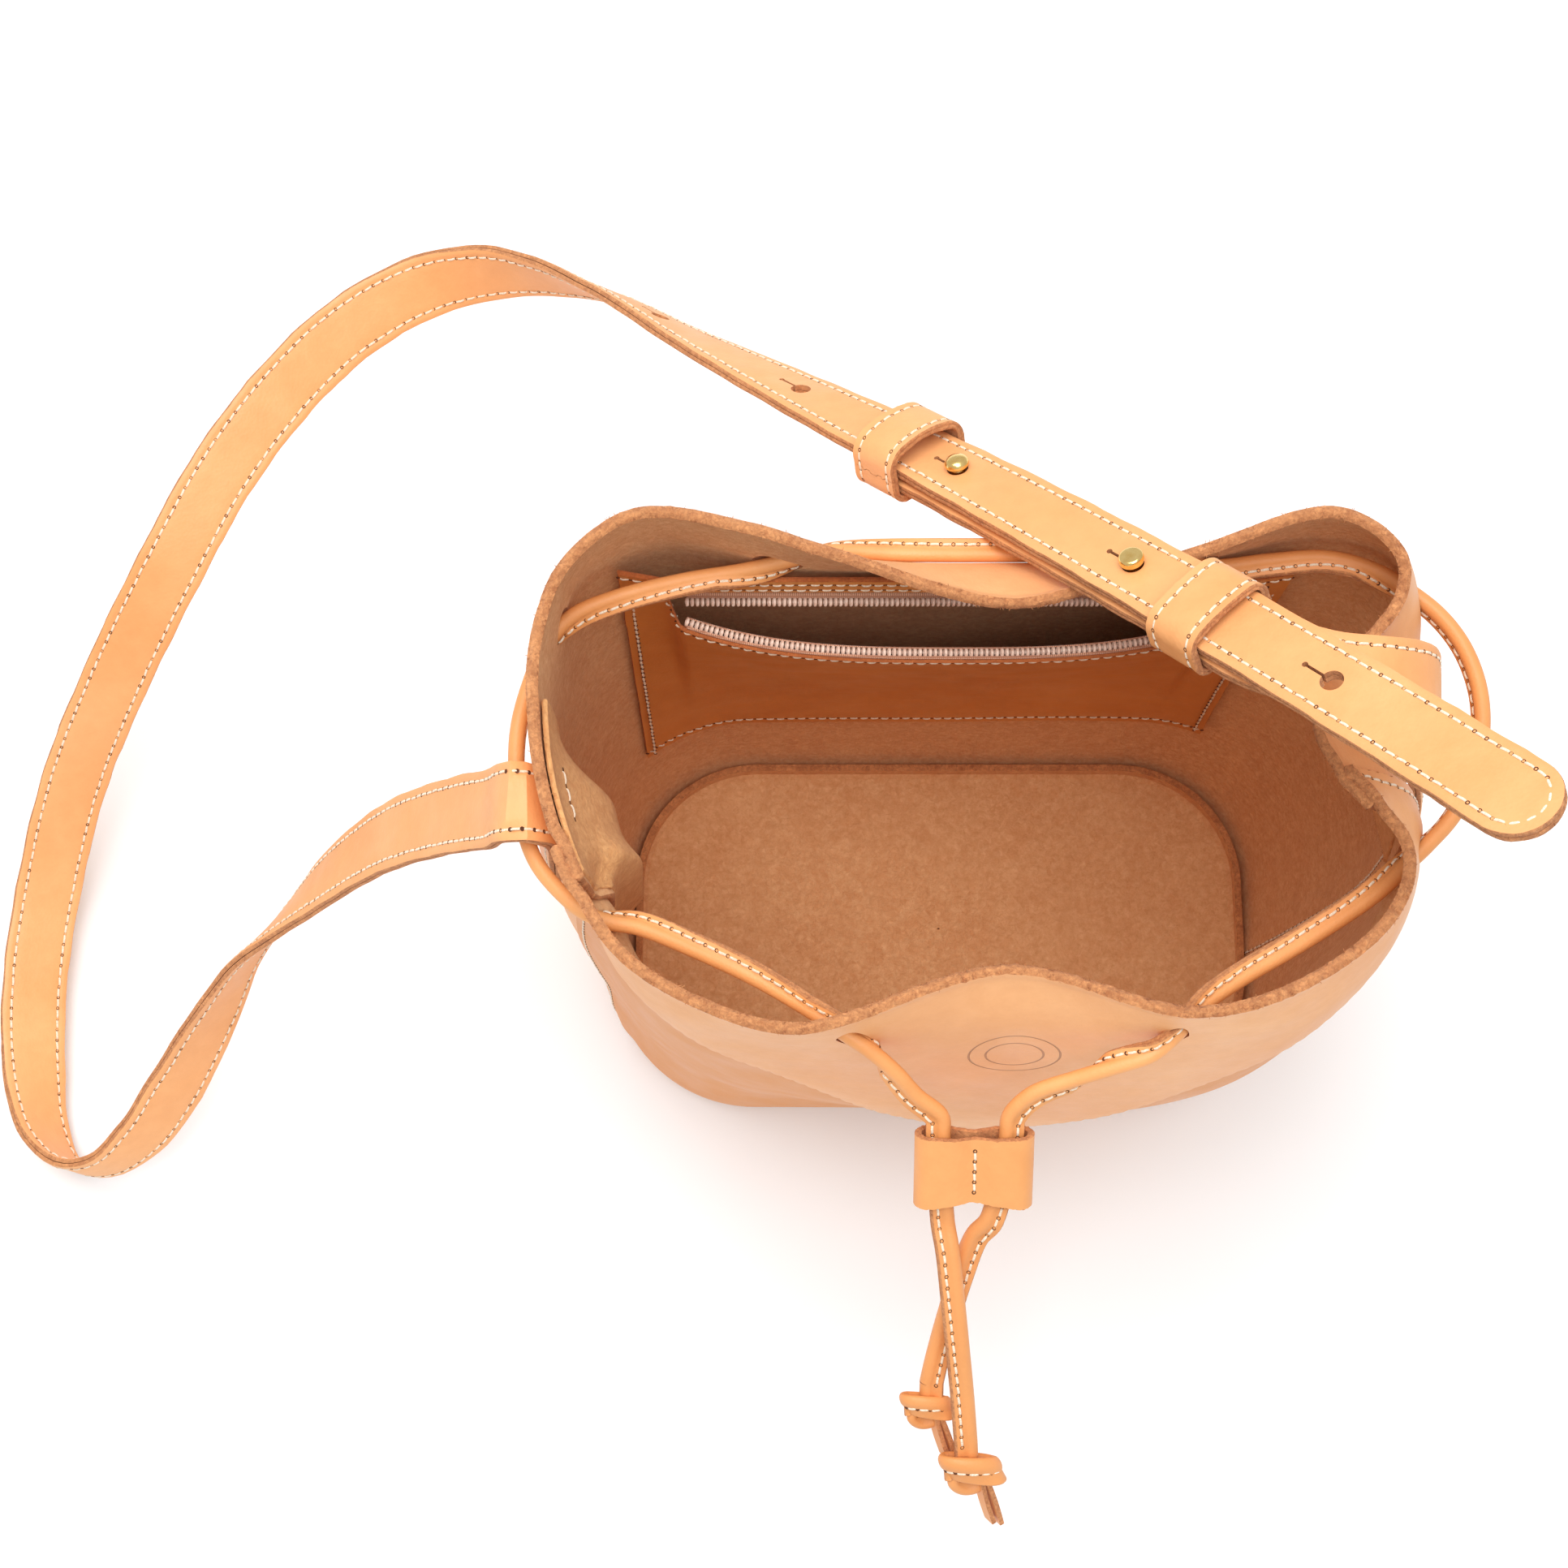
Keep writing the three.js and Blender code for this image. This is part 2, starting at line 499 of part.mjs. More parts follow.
function zipPull() {
  const { low, high, pin, halfWidth: wide, arm, armEnd, plateStart, tip } = ZIP_PULL;
  const bar = boxAt(-pin, pin, -wide, wide, low, high);
  const parts = [
    boxAt(-pin, armEnd, wide - arm, wide, low, high),
    boxAt(-pin, armEnd, -wide, arm - wide, low, high),
    boxAt(plateStart, tip, -wide, wide, low, high),
  ];
  return parts.reduce((body, part) => body.add(solid(part)), solid(bar)).transform(zipMatrix.elements);
}

// ---------------------------------------------------------------- wall, base and patches
const WALL_ROWS = [0, 0.12, 0.25, 0.38, 0.5, 0.6, 0.68, 0.76, 0.84, 0.92, 1];
const wallRow = (u, j) => wallPlace(u, WALL_ROWS[Math.round(j * (WALL_ROWS.length - 1))]);
const wallRing = solid(thickSheet(wallRow, 76, WALL_ROWS.length - 1, -WALL, 0, true));
const inPlan = (shift) => {
  const far = 400;
  const corners = [
    [-far, SEAM_LEFT_Y + shift], [0, SEAM_LEFT_Y + shift], [0, SEAM_RIGHT_Y + shift],
    [far, SEAM_RIGHT_Y + shift], [far, -far], [-far, -far],
  ];
  return solid(extrudeUp(new THREE.Shape(corners.map((c) => new THREE.Vector2(...c))), -10, 300));
};
const slits = solid(tube(LOOP_ROUTE, CORD_RADIUS + GAP + 0.1, 80));
const frontWall = wallRing.intersect(inPlan(-GAP / 2)).subtract(slits);
const backWall = wallRing.subtract(inPlan(GAP / 2)).subtract(slits);

const inset = WALL + GAP + 0.1;
const plateShape = roundedRect(BASE.halfX - inset, BASE.halfY - inset, BASE.corner - WALL);
const basePlate = extrudeUp(plateShape, 0, PLATE, 8);

// A suede patch that backs a strap's stitching inside the wall.
function patch(u, from, to) {
  const place = (s, t) => {
    const { point, normal } = wallAt(u + mix(-PATCH.halfU, PATCH.halfU, s), mix(from, to, t));
    return { point: point.addScaledVector(normal, -WALL - PATCH.clear), normal };
  };
  return thickSheet(place, 8, 6, -PATCH.leather, 0);
}

// ---------------------------------------------------------------- studs and keepers
// Heights are from the middle of the long strap along its normal.
const SHORT_TOP = UNDER + HALF_STRAP;
const SHORT_BOTTOM = UNDER - HALF_STRAP;
const stud = turned([
  [0, SHORT_TOP + 0.3], [3.1, SHORT_TOP + 0.3], [3.1, -HALF_STRAP - 0.3], [1.9, -HALF_STRAP - 0.3],
  [1.9, HALF_STRAP + 0.3], [2.9, HALF_STRAP + 0.7], [3.15, HALF_STRAP + 1.7], [2.8, HALF_STRAP + 2.9],
  [1.7, HALF_STRAP + 3.5], [0, HALF_STRAP + 3.6],
]);
const screw = turned([
  [0, SHORT_BOTTOM - 1.3], [3.1, SHORT_BOTTOM - 1.3], [3.4, SHORT_BOTTOM - 0.9], [3.4, SHORT_BOTTOM - 0.3],
  [1.4, SHORT_BOTTOM - 0.3], [1.4, SHORT_TOP], [0, SHORT_TOP],
]);

function keeper(distance, topRoom) {
  const low = SHORT_BOTTOM - 0.7;
  const high = HALF_STRAP + topRoom;
  const middle = (low + high) / 2;
  const halfX = STRAP.width / 2 + KEEPER.side;
  const ring = roundedRect(halfX + KEEPER.wall, (high - low) / 2 + KEEPER.wall, 3.6);
  ring.holes.push(roundedRect(halfX, (high - low) / 2, 1.6));
  const local = extrudeUp(ring, -KEEPER.length / 2, KEEPER.length / 2, 3);
  // The outline's x is across the strap, its y out of the strap's face, and its depth along the strap.
  const turn = new THREE.Matrix4().makeBasis(vec(0, -1, 0), vec(0, 0, 1), vec(-1, 0, 0));
  turn.setPosition(0, 0, middle);
  return local.applyMatrix4(frameAt(LONG, distance).multiply(turn));
}

// ---------------------------------------------------------------- materials and assembly
const material = (color, roughness, metalness = 0) => new THREE.MeshStandardMaterial(
  { color, roughness, metalness });
const GRAIN = material(0xf0b47c, 0.55);
const SUEDE = material(0xc08a58, 0.95);
const POCKET_LEATHER = material(0xc8783c, 0.6);
const ZIP_TAPE = material(0xb48472, 0.85);
const COIL = material(0xc8a496, 0.4);
const BRASS = material(0xe0b050, 0.2, 1);

const bag = new THREE.Group();
function add(name, shape, finish) {
  const geometry = shape.isBufferGeometry ? closed(shape) : geometryOf(shape);
  const mesh = new THREE.Mesh(geometry, finish);
  mesh.name = name;
  bag.add(mesh);
}

add('front_panel', frontWall, GRAIN);
add('back_panel', backWall, GRAIN);
add('base_panel', basePlate, GRAIN);
add('left_strap_patch', patch(LEFT_U, 150, 218), SUEDE);
add('right_strap_patch', patch(RIGHT_U, 148, 196), SUEDE);

const shortHoles = STUD_AT.map((distance) => solid(
  new THREE.CylinderGeometry(1.7, 1.7, 8, 12).rotateX(Math.PI / 2).translate(0, 0, UNDER))
  .transform(frameAt(LONG, distance).elements));
const longStrap = strapLayers(LONG, 0, LONG.length, true);
const shortStrap = strapLayers(SHORT, 0, SHORT.length, false);
const buttonholes = holeAt.map((distance) => buttonhole(frameAt(LONG, distance)));
const cut = (body, tools) => tools.reduce((rest, tool) => rest.subtract(tool), body);
add('long_strap_face', cut(longStrap.face, buttonholes), GRAIN);
add('long_strap_lining', cut(longStrap.lining, buttonholes), GRAIN);
add('short_strap_face', cut(shortStrap.face, shortHoles), GRAIN);
add('short_strap_lining', cut(shortStrap.lining, shortHoles), GRAIN);

STUD_AT.forEach((distance, k) => {
  add(`stud_${k + 1}`, stud.clone().applyMatrix4(frameAt(LONG, distance)), BRASS);
  add(`stud_screw_${k + 1}`, screw.clone().applyMatrix4(frameAt(LONG, distance)), BRASS);
});
add('keeper_1', keeper(KEEPER_AT[0], 3.2), GRAIN);
add('keeper_2', keeper(KEEPER_AT[1], 1.2), GRAIN);

add('drawcord', tube(LOOP_ROUTE, CORD_RADIUS, 80), GRAIN);
add('cord_tail_left', tube(LEFT_TAIL, CORD_RADIUS, 10), GRAIN);
add('cord_tail_right', tube(RIGHT_TAIL, CORD_RADIUS, 8), GRAIN);
const tails = [tube(LEFT_TAIL, CORD_RADIUS + GAP, 10), tube(RIGHT_TAIL, CORD_RADIUS + GAP, 8)].map(solid);
add('knot_left', cut(knot(KNOTS.knot_left), tails), GRAIN);
add('knot_right', cut(knot(KNOTS.knot_right), tails), GRAIN);
add('cord_slider', sliderBody(), GRAIN);

add('pocket_panel', pocketPanel(), POCKET_LEATHER);
const teeth = (middle, bowed, columns) => zipStrip(
  middle - ZIP.toothHalf, middle + ZIP.toothHalf, -ZIP.toothHeight, ZIP.toothHeight, bowed, columns);
add('zip_tape_upper', zipStrip(-4.6, -2.45, -TAPE_HALF, TAPE_HALF, false, 1), ZIP_TAPE);
add('zip_teeth_upper', teeth(-ZIP.rowOffset, false, 1), COIL);
add('zip_teeth_lower', teeth(ZIP.rowOffset, true, 24), COIL);
add('zip_tape_lower', lowerTape(), ZIP_TAPE);
add('zip_slider', zipSlider(), BRASS);
add('zip_pull', zipPull(), BRASS);

export default bag;
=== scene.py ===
"""The looks of a leather bucket bag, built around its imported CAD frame. Metres, +Z up, front at -Y."""
import math

import bpy
import bmesh
import numpy as np
from mathutils import Matrix, Vector


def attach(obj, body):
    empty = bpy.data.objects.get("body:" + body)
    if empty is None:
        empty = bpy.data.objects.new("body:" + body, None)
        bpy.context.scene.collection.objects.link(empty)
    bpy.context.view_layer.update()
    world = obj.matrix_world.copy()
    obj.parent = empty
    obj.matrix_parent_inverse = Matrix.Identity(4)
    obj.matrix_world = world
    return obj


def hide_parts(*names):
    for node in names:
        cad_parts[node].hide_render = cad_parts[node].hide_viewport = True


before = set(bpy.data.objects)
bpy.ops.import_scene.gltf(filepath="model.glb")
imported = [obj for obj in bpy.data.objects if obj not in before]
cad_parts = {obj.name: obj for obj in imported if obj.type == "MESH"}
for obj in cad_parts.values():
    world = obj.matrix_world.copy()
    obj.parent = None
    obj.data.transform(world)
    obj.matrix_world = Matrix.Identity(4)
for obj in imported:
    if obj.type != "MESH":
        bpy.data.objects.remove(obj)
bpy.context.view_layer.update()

MM = 0.001

# ---------------------------------------------------------------- driving dimensions, as in the CAD
WALL = 2.2 * MM
BASE = (102 * MM, 57 * MM, 42 * MM)          # half width, half depth and corner radius on the ground
HEEL = (105.5 * MM, 60.5 * MM, 45 * MM)
HEEL_Z = 14 * MM
BELLY_Z = 115 * MM
EYELET_Z = 206 * MM
SEAM_LEFT_Y = -31 * MM
SEAM_RIGHT_Y = -10 * MM
RISE_FOOT, RISE_TIP = (-106, 172, 120), (110, -40, 306)     # in millimetres, as the strap's last stretch runs
RISE_FOOT_WAY, RISE_TIP_WAY = (0.15, 0.35, -0.92), (0.48, 0.87, -0.15)
RISE_BOW = 5.5 * MM
RISE_STEPS = 8
HALF_WIDTH = 10 * MM                          # of a strap
HALF_STRAP = 1.65 * MM                        # half the thickness of a doubled strap
PLY_GAP = 0.1 * MM                            # dark line between the two layers of a strap
STITCH_INSET = 2.6 * MM
STITCH_PITCH = 3.46 * MM
HOLE_RADIUS = 2.8 * MM
HOLE_SLIT = 5.6 * MM
HOLE_PITCH = 66 * MM
HOLE_FROM_TIP = 64 * MM
UNDER = -(2 * HALF_STRAP + 1.3 * MM)          # from the long strap's middle to the short strap's
GAP = 0.3 * MM
SLIDER_CENTRE = np.array([-4, -99, 190]) * MM
SLIDER_PITCH = math.radians(35)
SLIDER_LENGTH = 19 * MM
SLIDER_AXIS = np.array([0, -math.cos(SLIDER_PITCH), -math.sin(SLIDER_PITCH)])
RNG = np.random.default_rng(7)

BELLY = [
    (0.005, -0.08), (0.05, -0.079), (0.082, -0.069), (0.106, -0.048), (0.117, -0.02), (0.119, 0.004),
    (0.115, 0.028), (0.102, 0.05), (0.076, 0.061), (0.046, 0.063), (0, 0.062), (-0.046, 0.062),
    (-0.078, 0.06), (-0.103, 0.047), (-0.114, 0.022), (-0.116, 0), (-0.111, -0.026), (-0.097, -0.05),
    (-0.072, -0.068), (-0.038, -0.077),
]
EYELETS = [
    (0.004, -0.0685), (0.044, -0.071), (0.076, -0.066), (0.099, -0.047), (0.108, -0.022), (0.103, 0.006),
    (0.112, 0.04), (0.106, 0.057), (0.086, 0.0625), (0.05, 0.0555), (0.004, 0.0538), (-0.05, 0.0555),
    (-0.084, 0.061), (-0.104, 0.051), (-0.1105, 0.034), (-0.1125, 0.008), (-0.1095, -0.012),
    (-0.1, -0.037), (-0.091, -0.054), (-0.072, -0.0675), (-0.034, -0.0715),
]
RIM = [
    (0.002, -0.0575, 0.228), (0.046, -0.068, 0.229), (0.071, -0.062, 0.23), (0.095, -0.044, 0.23),
    (0.1, -0.027, 0.229), (0.081, 0.007, 0.223), (0.102, 0.036, 0.23), (0.102, 0.047, 0.233),
    (0.086, 0.0575, 0.235), (0.052, 0.05, 0.228), (0.028, 0.043, 0.224), (0.006, 0.038, 0.223),
    (-0.04, 0.049, 0.23), (-0.062, 0.055, 0.233), (-0.088, 0.057, 0.235), (-0.106, 0.044, 0.233),
    (-0.113, 0.025, 0.23), (-0.113, 0.004, 0.229), (-0.11, -0.014, 0.228), (-0.102, -0.036, 0.228),
    (-0.091, -0.053, 0.228), (-0.073, -0.065, 0.229), (-0.048, -0.072, 0.229),
]


def in_slider(x, t):
    """A point on the slider's axis direction, beside its centre."""
    place = SLIDER_CENTRE + SLIDER_AXIS * t
    return (x, place[1], place[2])


LOOP_ROUTE = [
    in_slider(-0.0108, 0.0096), in_slider(-0.0118, 0), in_slider(-0.0119, -0.0095),
    in_slider(-0.0123, -0.014), (-0.0185, -0.083, 0.202), (-0.024, -0.078, 0.2075),
    (-0.03, -0.0735, 0.2115), (-0.037, -0.069, 0.213),
    (-0.045, -0.0635, 0.2125), (-0.058, -0.0555, 0.2105), (-0.074, -0.0475, 0.208), (-0.087, -0.042, 0.2065),
    (-0.0945, -0.0405, 0.206), (-0.1005, -0.038, 0.206), (-0.106, -0.0335, 0.206), (-0.1123, -0.026, 0.206),
    (-0.1157, -0.018, 0.206), (-0.1174, -0.009, 0.206), (-0.1185, 0, 0.206), (-0.1182, 0.01, 0.206),
    (-0.116, 0.02, 0.206), (-0.1115, 0.032, 0.206), (-0.105, 0.0395, 0.206), (-0.094, 0.0445, 0.206),
    (-0.077, 0.049, 0.206), (-0.061, 0.0518, 0.206), (-0.05, 0.0545, 0.206), (-0.04, 0.0568, 0.206),
    (-0.022, 0.0562, 0.206), (0.004, 0.0561, 0.206), (0.028, 0.0562, 0.206), (0.04, 0.0568, 0.206),
    (0.05, 0.055, 0.206), (0.059, 0.0528, 0.206), (0.074, 0.0544, 0.206), (0.089, 0.0552, 0.206),
    (0.101, 0.0518, 0.206), (0.1095, 0.0462, 0.206), (0.117, 0.0395, 0.206), (0.1225, 0.031, 0.206),
    (0.1256, 0.02, 0.206), (0.1254, 0.008, 0.206), (0.122, -0.004, 0.206), (0.1165, -0.0135, 0.206),
    (0.1095, -0.021, 0.206), (0.1035, -0.0265, 0.206), (0.096, -0.0335, 0.207), (0.077, -0.046, 0.208),
    (0.06, -0.056, 0.21), (0.05, -0.063, 0.212), (0.044, -0.0695, 0.213), (0.038, -0.0745, 0.2125),
    (0.03, -0.077, 0.2105), (0.02, -0.0795, 0.2065), (0.0095, -0.0828, 0.2025), in_slider(0.0044, -0.014),
    in_slider(0.004, -0.0095), in_slider(0.0036, 0), in_slider(0.0011, 0.0096),
]
# The way that the cord's sewn flange points, by place in LOOP_ROUTE.
LOOP_FLANGE = [
    (0, -1, 0, 0), (3.2, -1, -0.1, -0.1), (4.2, -0.8, -0.5, -0.6), (5, -0.1, -0.5, -0.9),
    (5.8, 0.6, 0.1, -0.8), (6.6, 0.7, 0.7, -0.1), (7.2, 0.4, 0.7, 0.7), (8, 0.3, 0.5, 0.9),
    (10, 0.4, 0.9, 0.4), (11.5, 0.2, 0.7, -0.4),
    (13, 0, 0.2, -1), (20, 0.3, 0.1, -1), (21, 0.2, -0.1, -1), (22.5, 0.3, -0.8, -0.4), (24.5, 0.1, -1, 0.2),
    (26, 0, -0.3, -1), (27, 0, 0.6, -0.7), (28.5, 0, 1, 0.3), (30.5, 0, 1, 0.1), (32, 0, 0.2, -1),
    (33.5, 0, -1, -0.1), (35.5, 0, -1, 0.2), (37, -0.3, -0.2, -1), (43.5, -0.3, 0.2, -1),
    (45, -0.5, 0.5, -0.6), (46.5, -0.5, 0.8, 0.3), (48.5, -0.3, 0.7, 0.6), (50, 0, 0.4, 0.9),
    (51, 0, 0.7, 0.7), (52, 0, 1, 0.1), (52.6, 0.2, 0.5, -0.9), (53.2, 0.4, -0.5, -0.9),
    (54, 0.9, -0.4, -0.4), (54.8, 1, -0.1, -0.1), (58, 1, 0, 0),
]
TAIL_START = 0.0099
LEFT_TAIL = [
    in_slider(-0.0108, TAIL_START), in_slider(-0.0102, 0.016), (-0.009, -0.1185, 0.1782),
    (-0.0076, -0.129, 0.1722), (-0.006, -0.141, 0.164), (-0.0042, -0.154, 0.1535), (-0.003, -0.165, 0.1455),
]
RIGHT_TAIL = [
    in_slider(0.0011, TAIL_START), in_slider(-0.0004, 0.015), (-0.0036, -0.1145, 0.1772),
    (-0.0072, -0.124, 0.1686), (-0.0102, -0.134, 0.1608), (-0.0128, -0.144, 0.1535),
    (-0.014, -0.1495, 0.1495),
]
KNOTS = {
    "knot_left": ((-0.014, -0.155, 0.1455), (-0.008, -0.168, 0.136)),
    "knot_right": ((-0.0026, -0.1705, 0.1415), (0.004, -0.1845, 0.13)),
}


# ---------------------------------------------------------------- curves
def unit(a):
    a = np.asarray(a, float)
    return a / np.maximum(np.linalg.norm(a, axis=-1, keepdims=True), 1e-12)


def smooth(x):
    x = np.clip(x, 0, 1)
    return x * x * (3 - 2 * x)


class Spline:
    """A centripetal (or, for directions, uniform) Catmull-Rom curve through points."""

    def __init__(self, points, closed=False, uniform=False, divisions=900):
        p = np.array(points, float)
        before, after = (p[-1:], p[:2]) if closed else (2 * p[:1] - p[1:2], 2 * p[-1:] - p[-2:-1])
        ring = np.vstack([before, p, after])
        a, b, c, d = ring[:-3], ring[1:-2], ring[2:-1], ring[3:]
        if uniform:
            t1, t2 = (c - a) / 2, (d - b) / 2
        else:
            pairs = ((a, b), (b, c), (c, d))
            g0, g1, g2 = (np.sqrt(np.linalg.norm(n - m, axis=1))[:, None] for m, n in pairs)
            t1 = ((b - a) / g0 - (c - a) / (g0 + g1) + (c - b) / g1) * g1
            t2 = ((c - b) / g1 - (d - b) / (g1 + g2) + (d - c) / g2) * g1
        self.k = np.stack([b, t1, -3 * b + 3 * c - 2 * t1 - t2, 2 * b - 2 * c + t1 + t2])
        self.count = len(b)
        self.t = np.linspace(0, 1, divisions + 1)
        steps = np.linalg.norm(np.diff(self.at(self.t), axis=0), axis=1)
        self.lengths = np.concatenate([[0], np.cumsum(steps)])
        self.length = self.lengths[-1]

    def _place(self, t):
        s = np.clip(np.asarray(t, float) * self.count, 0, self.count)
        i = np.minimum(s.astype(int), self.count - 1)
        return self.k[:, i], (s - i)[..., None]

    def at(self, t):
        k, w = self._place(t)
        return k[0] + w * (k[1] + w * (k[2] + w * k[3]))

    def tangent(self, t):
        k, w = self._place(t)
        return unit(k[1] + w * (2 * k[2] + 3 * w * k[3]))

    def t_at(self, distance):
        return np.interp(distance, self.lengths, self.t)


def rounded_rect(half_x, half_y, corner, share):
    """Points of a rounded rectangle by share of its length, from (0, -half_y) anticlockwise."""
    straight = [half_x - corner, 2 * (half_y - corner), 2 * (half_x - corner), 2 * (half_y - corner),
                half_x - corner]
    arc = math.pi * corner / 2
    starts = [(0, -half_y), (half_x, corner - half_y), (half_x - corner, half_y), (-half_x, half_y - corner),
              (corner - half_x, -half_y)]
    ways = [(1, 0), (0, 1), (-1, 0), (0, -1), (1, 0)]
    centres = [(half_x - corner, corner - half_y), (half_x - corner, half_y - corner),
               (corner - half_x, half_y - corner), (corner - half_x, corner - half_y)]
    total = sum(straight) + 4 * arc
    out = []
    for s in np.asarray(share) % 1 * total:
        for k in range(5):
            if s <= straight[k] or k == 4:
                out.append((starts[k][0] + ways[k][0] * s, starts[k][1] + ways[k][1] * s))
                break
            s -= straight[k]
            if s <= arc:
                turn = math.pi / 2 * (k - 1 + s / arc)
                out.append((centres[k][0] + corner * math.cos(turn), centres[k][1] + corner * math.sin(turn)))
                break
            s -= arc
    return np.array(out)


# ---------------------------------------------------------------- the wall's outer surface
# u runs round the bag by share of length from the front middle, and v from the ground (0) to the rim (1).
U_COUNT, V_COUNT = 720, 241


def wall_table():
    u = np.arange(U_COUNT) / U_COUNT
    levels = []
    for size, z in ((BASE, 0), (HEEL, HEEL_Z)):
        flat = rounded_rect(*size, u)
        levels.append(np.column_stack([flat, np.full(U_COUNT, z)]))
    for rows, z in ((BELLY, BELLY_Z), (EYELETS, EYELET_Z), (RIM, None)):
        line = Spline([(*r[:2], r[2] if z is None else z) for r in rows], closed=True, divisions=1440)
        levels.append(line.at(line.t_at(u * line.length)))
    v = np.linspace(0, 1, V_COUNT)
    return np.stack([Spline(column, divisions=2).at(v) for column in np.stack(levels, 1)])


POINTS = wall_table()
ROUND = np.roll(POINTS, -2, 0) - np.roll(POINTS, 2, 0)
NORMALS = unit(np.cross(ROUND, np.gradient(POINTS, axis=1)))


def wall(u, v, out=0.0):
    """Points at a distance outside the wall's outer surface, and the normals there."""
    u, v = np.broadcast_arrays(np.asarray(u, float) % 1 * U_COUNT, np.asarray(v, float) * (V_COUNT - 1))
    i = np.floor(u).astype(int)
    j = np.clip(np.floor(v).astype(int), 0, V_COUNT - 2)
    a, b = (u - i)[..., None], (v - j)[..., None]
    i0, i1 = i % U_COUNT, (i + 1) % U_COUNT

    def blend(table):
        low = table[i0, j] * (1 - a) + table[i1, j] * a
        high = table[i0, j + 1] * (1 - a) + table[i1, j + 1] * a
        return low * (1 - b) + high * b
    normal = unit(blend(NORMALS))
    return blend(POINTS) + normal * np.asarray(out, float)[..., None], normal


def v_at(u, z):
    """The v at which the wall reaches a height, for each u."""
    v = np.linspace(0, 1, V_COUNT)
    columns = np.asarray(u, float) % 1 * U_COUNT
    out = []
    for c, height in zip(*np.broadcast_arrays(columns, z)):
        i = int(c)
        heights = POINTS[i % U_COUNT, :, 2] * (i + 1 - c) + POINTS[(i + 1) % U_COUNT, :, 2] * (c - i)
        out.append(np.interp(height, heights, v))
    return np.array(out)


def u_where_y(y, v, low, high):
    """The u between two limits at which a wall level crosses a plane of constant y."""
    u = np.linspace(low, high, 400)
    ys = wall(u, v)[0][:, 1]
    order = np.argsort(ys)
    return float(np.interp(y, ys[order], u[order]))


def side_u(y, side):
    u = np.linspace(*((0.66, 0.9) if side == "left" else (0.12, 0.34)), 900)
    ys = wall(u, v_at(u, EYELET_Z))[0][:, 1]
    order = np.argsort(ys)
    return float(np.interp(y, ys[order], u[order]))


def flat_way(u, z):
    """The level direction along the wall that points to the back."""
    normal = wall([u], v_at([u], z))[1][0]
    along = unit([-normal[1], normal[0], 0])
    return along * np.sign(along[1])


# ---------------------------------------------------------------- strap routes
class Ribbon:
    """A strap's middle line, with the direction of its width and of its face at each distance."""

    def __init__(self, rows):
        rows = np.array(rows, float)
        self.centre = Spline(rows[:, :3])
        self.width = Spline(unit(rows[:, 3:]), uniform=True)
        self.length = self.centre.length

    def frame(self, distance):
        t = self.centre.t_at(distance)
        along = self.centre.tangent(t)
        across = self.width.at(t)
        across = unit(across - along * np.sum(across * along, -1, keepdims=True))
        return self.centre.at(t), along, across, np.cross(along, across)

    def at(self, distance, across=0.0, height=0.0):
        point, _, wide, normal = self.frame(distance)
        across, height = (np.asarray(x, float)[..., None] for x in (across, height))
        return point + wide * across + normal * height

    def matrix(self, distance):
        """X along the strap, Y across it and Z out of its face."""
        point, along, across, normal = (np.asarray(x).reshape(3) for x in self.frame(distance))
        return Matrix(((along[0], across[0], normal[0], point[0]), (along[1], across[1], normal[1], point[1]),
                       (along[2], across[2], normal[2], point[2]), (0, 0, 0, 1)))


LEFT_U = side_u(-11.4 * MM, "left")
RIGHT_U = side_u(10 * MM, "right")


def sewn_row(u, z, lift):
    point = wall([u], v_at([u], z), GAP + HALF_STRAP + lift)[0][0]
    return (*point, *flat_way(u, z))


def rise_row(share):
    """The last stretch of the long strap: a chord with a little bow, which turns face-up towards the tip."""
    left = 1 - share
    way = unit(np.array(RISE_TIP_WAY) * (1 - left ** 2) + np.array(RISE_FOOT_WAY) * left ** 2)
    chord = np.array(RISE_FOOT) * left + np.array(RISE_TIP) * share
    return (*(chord * MM + way * RISE_BOW * 4 * share * left), *way)


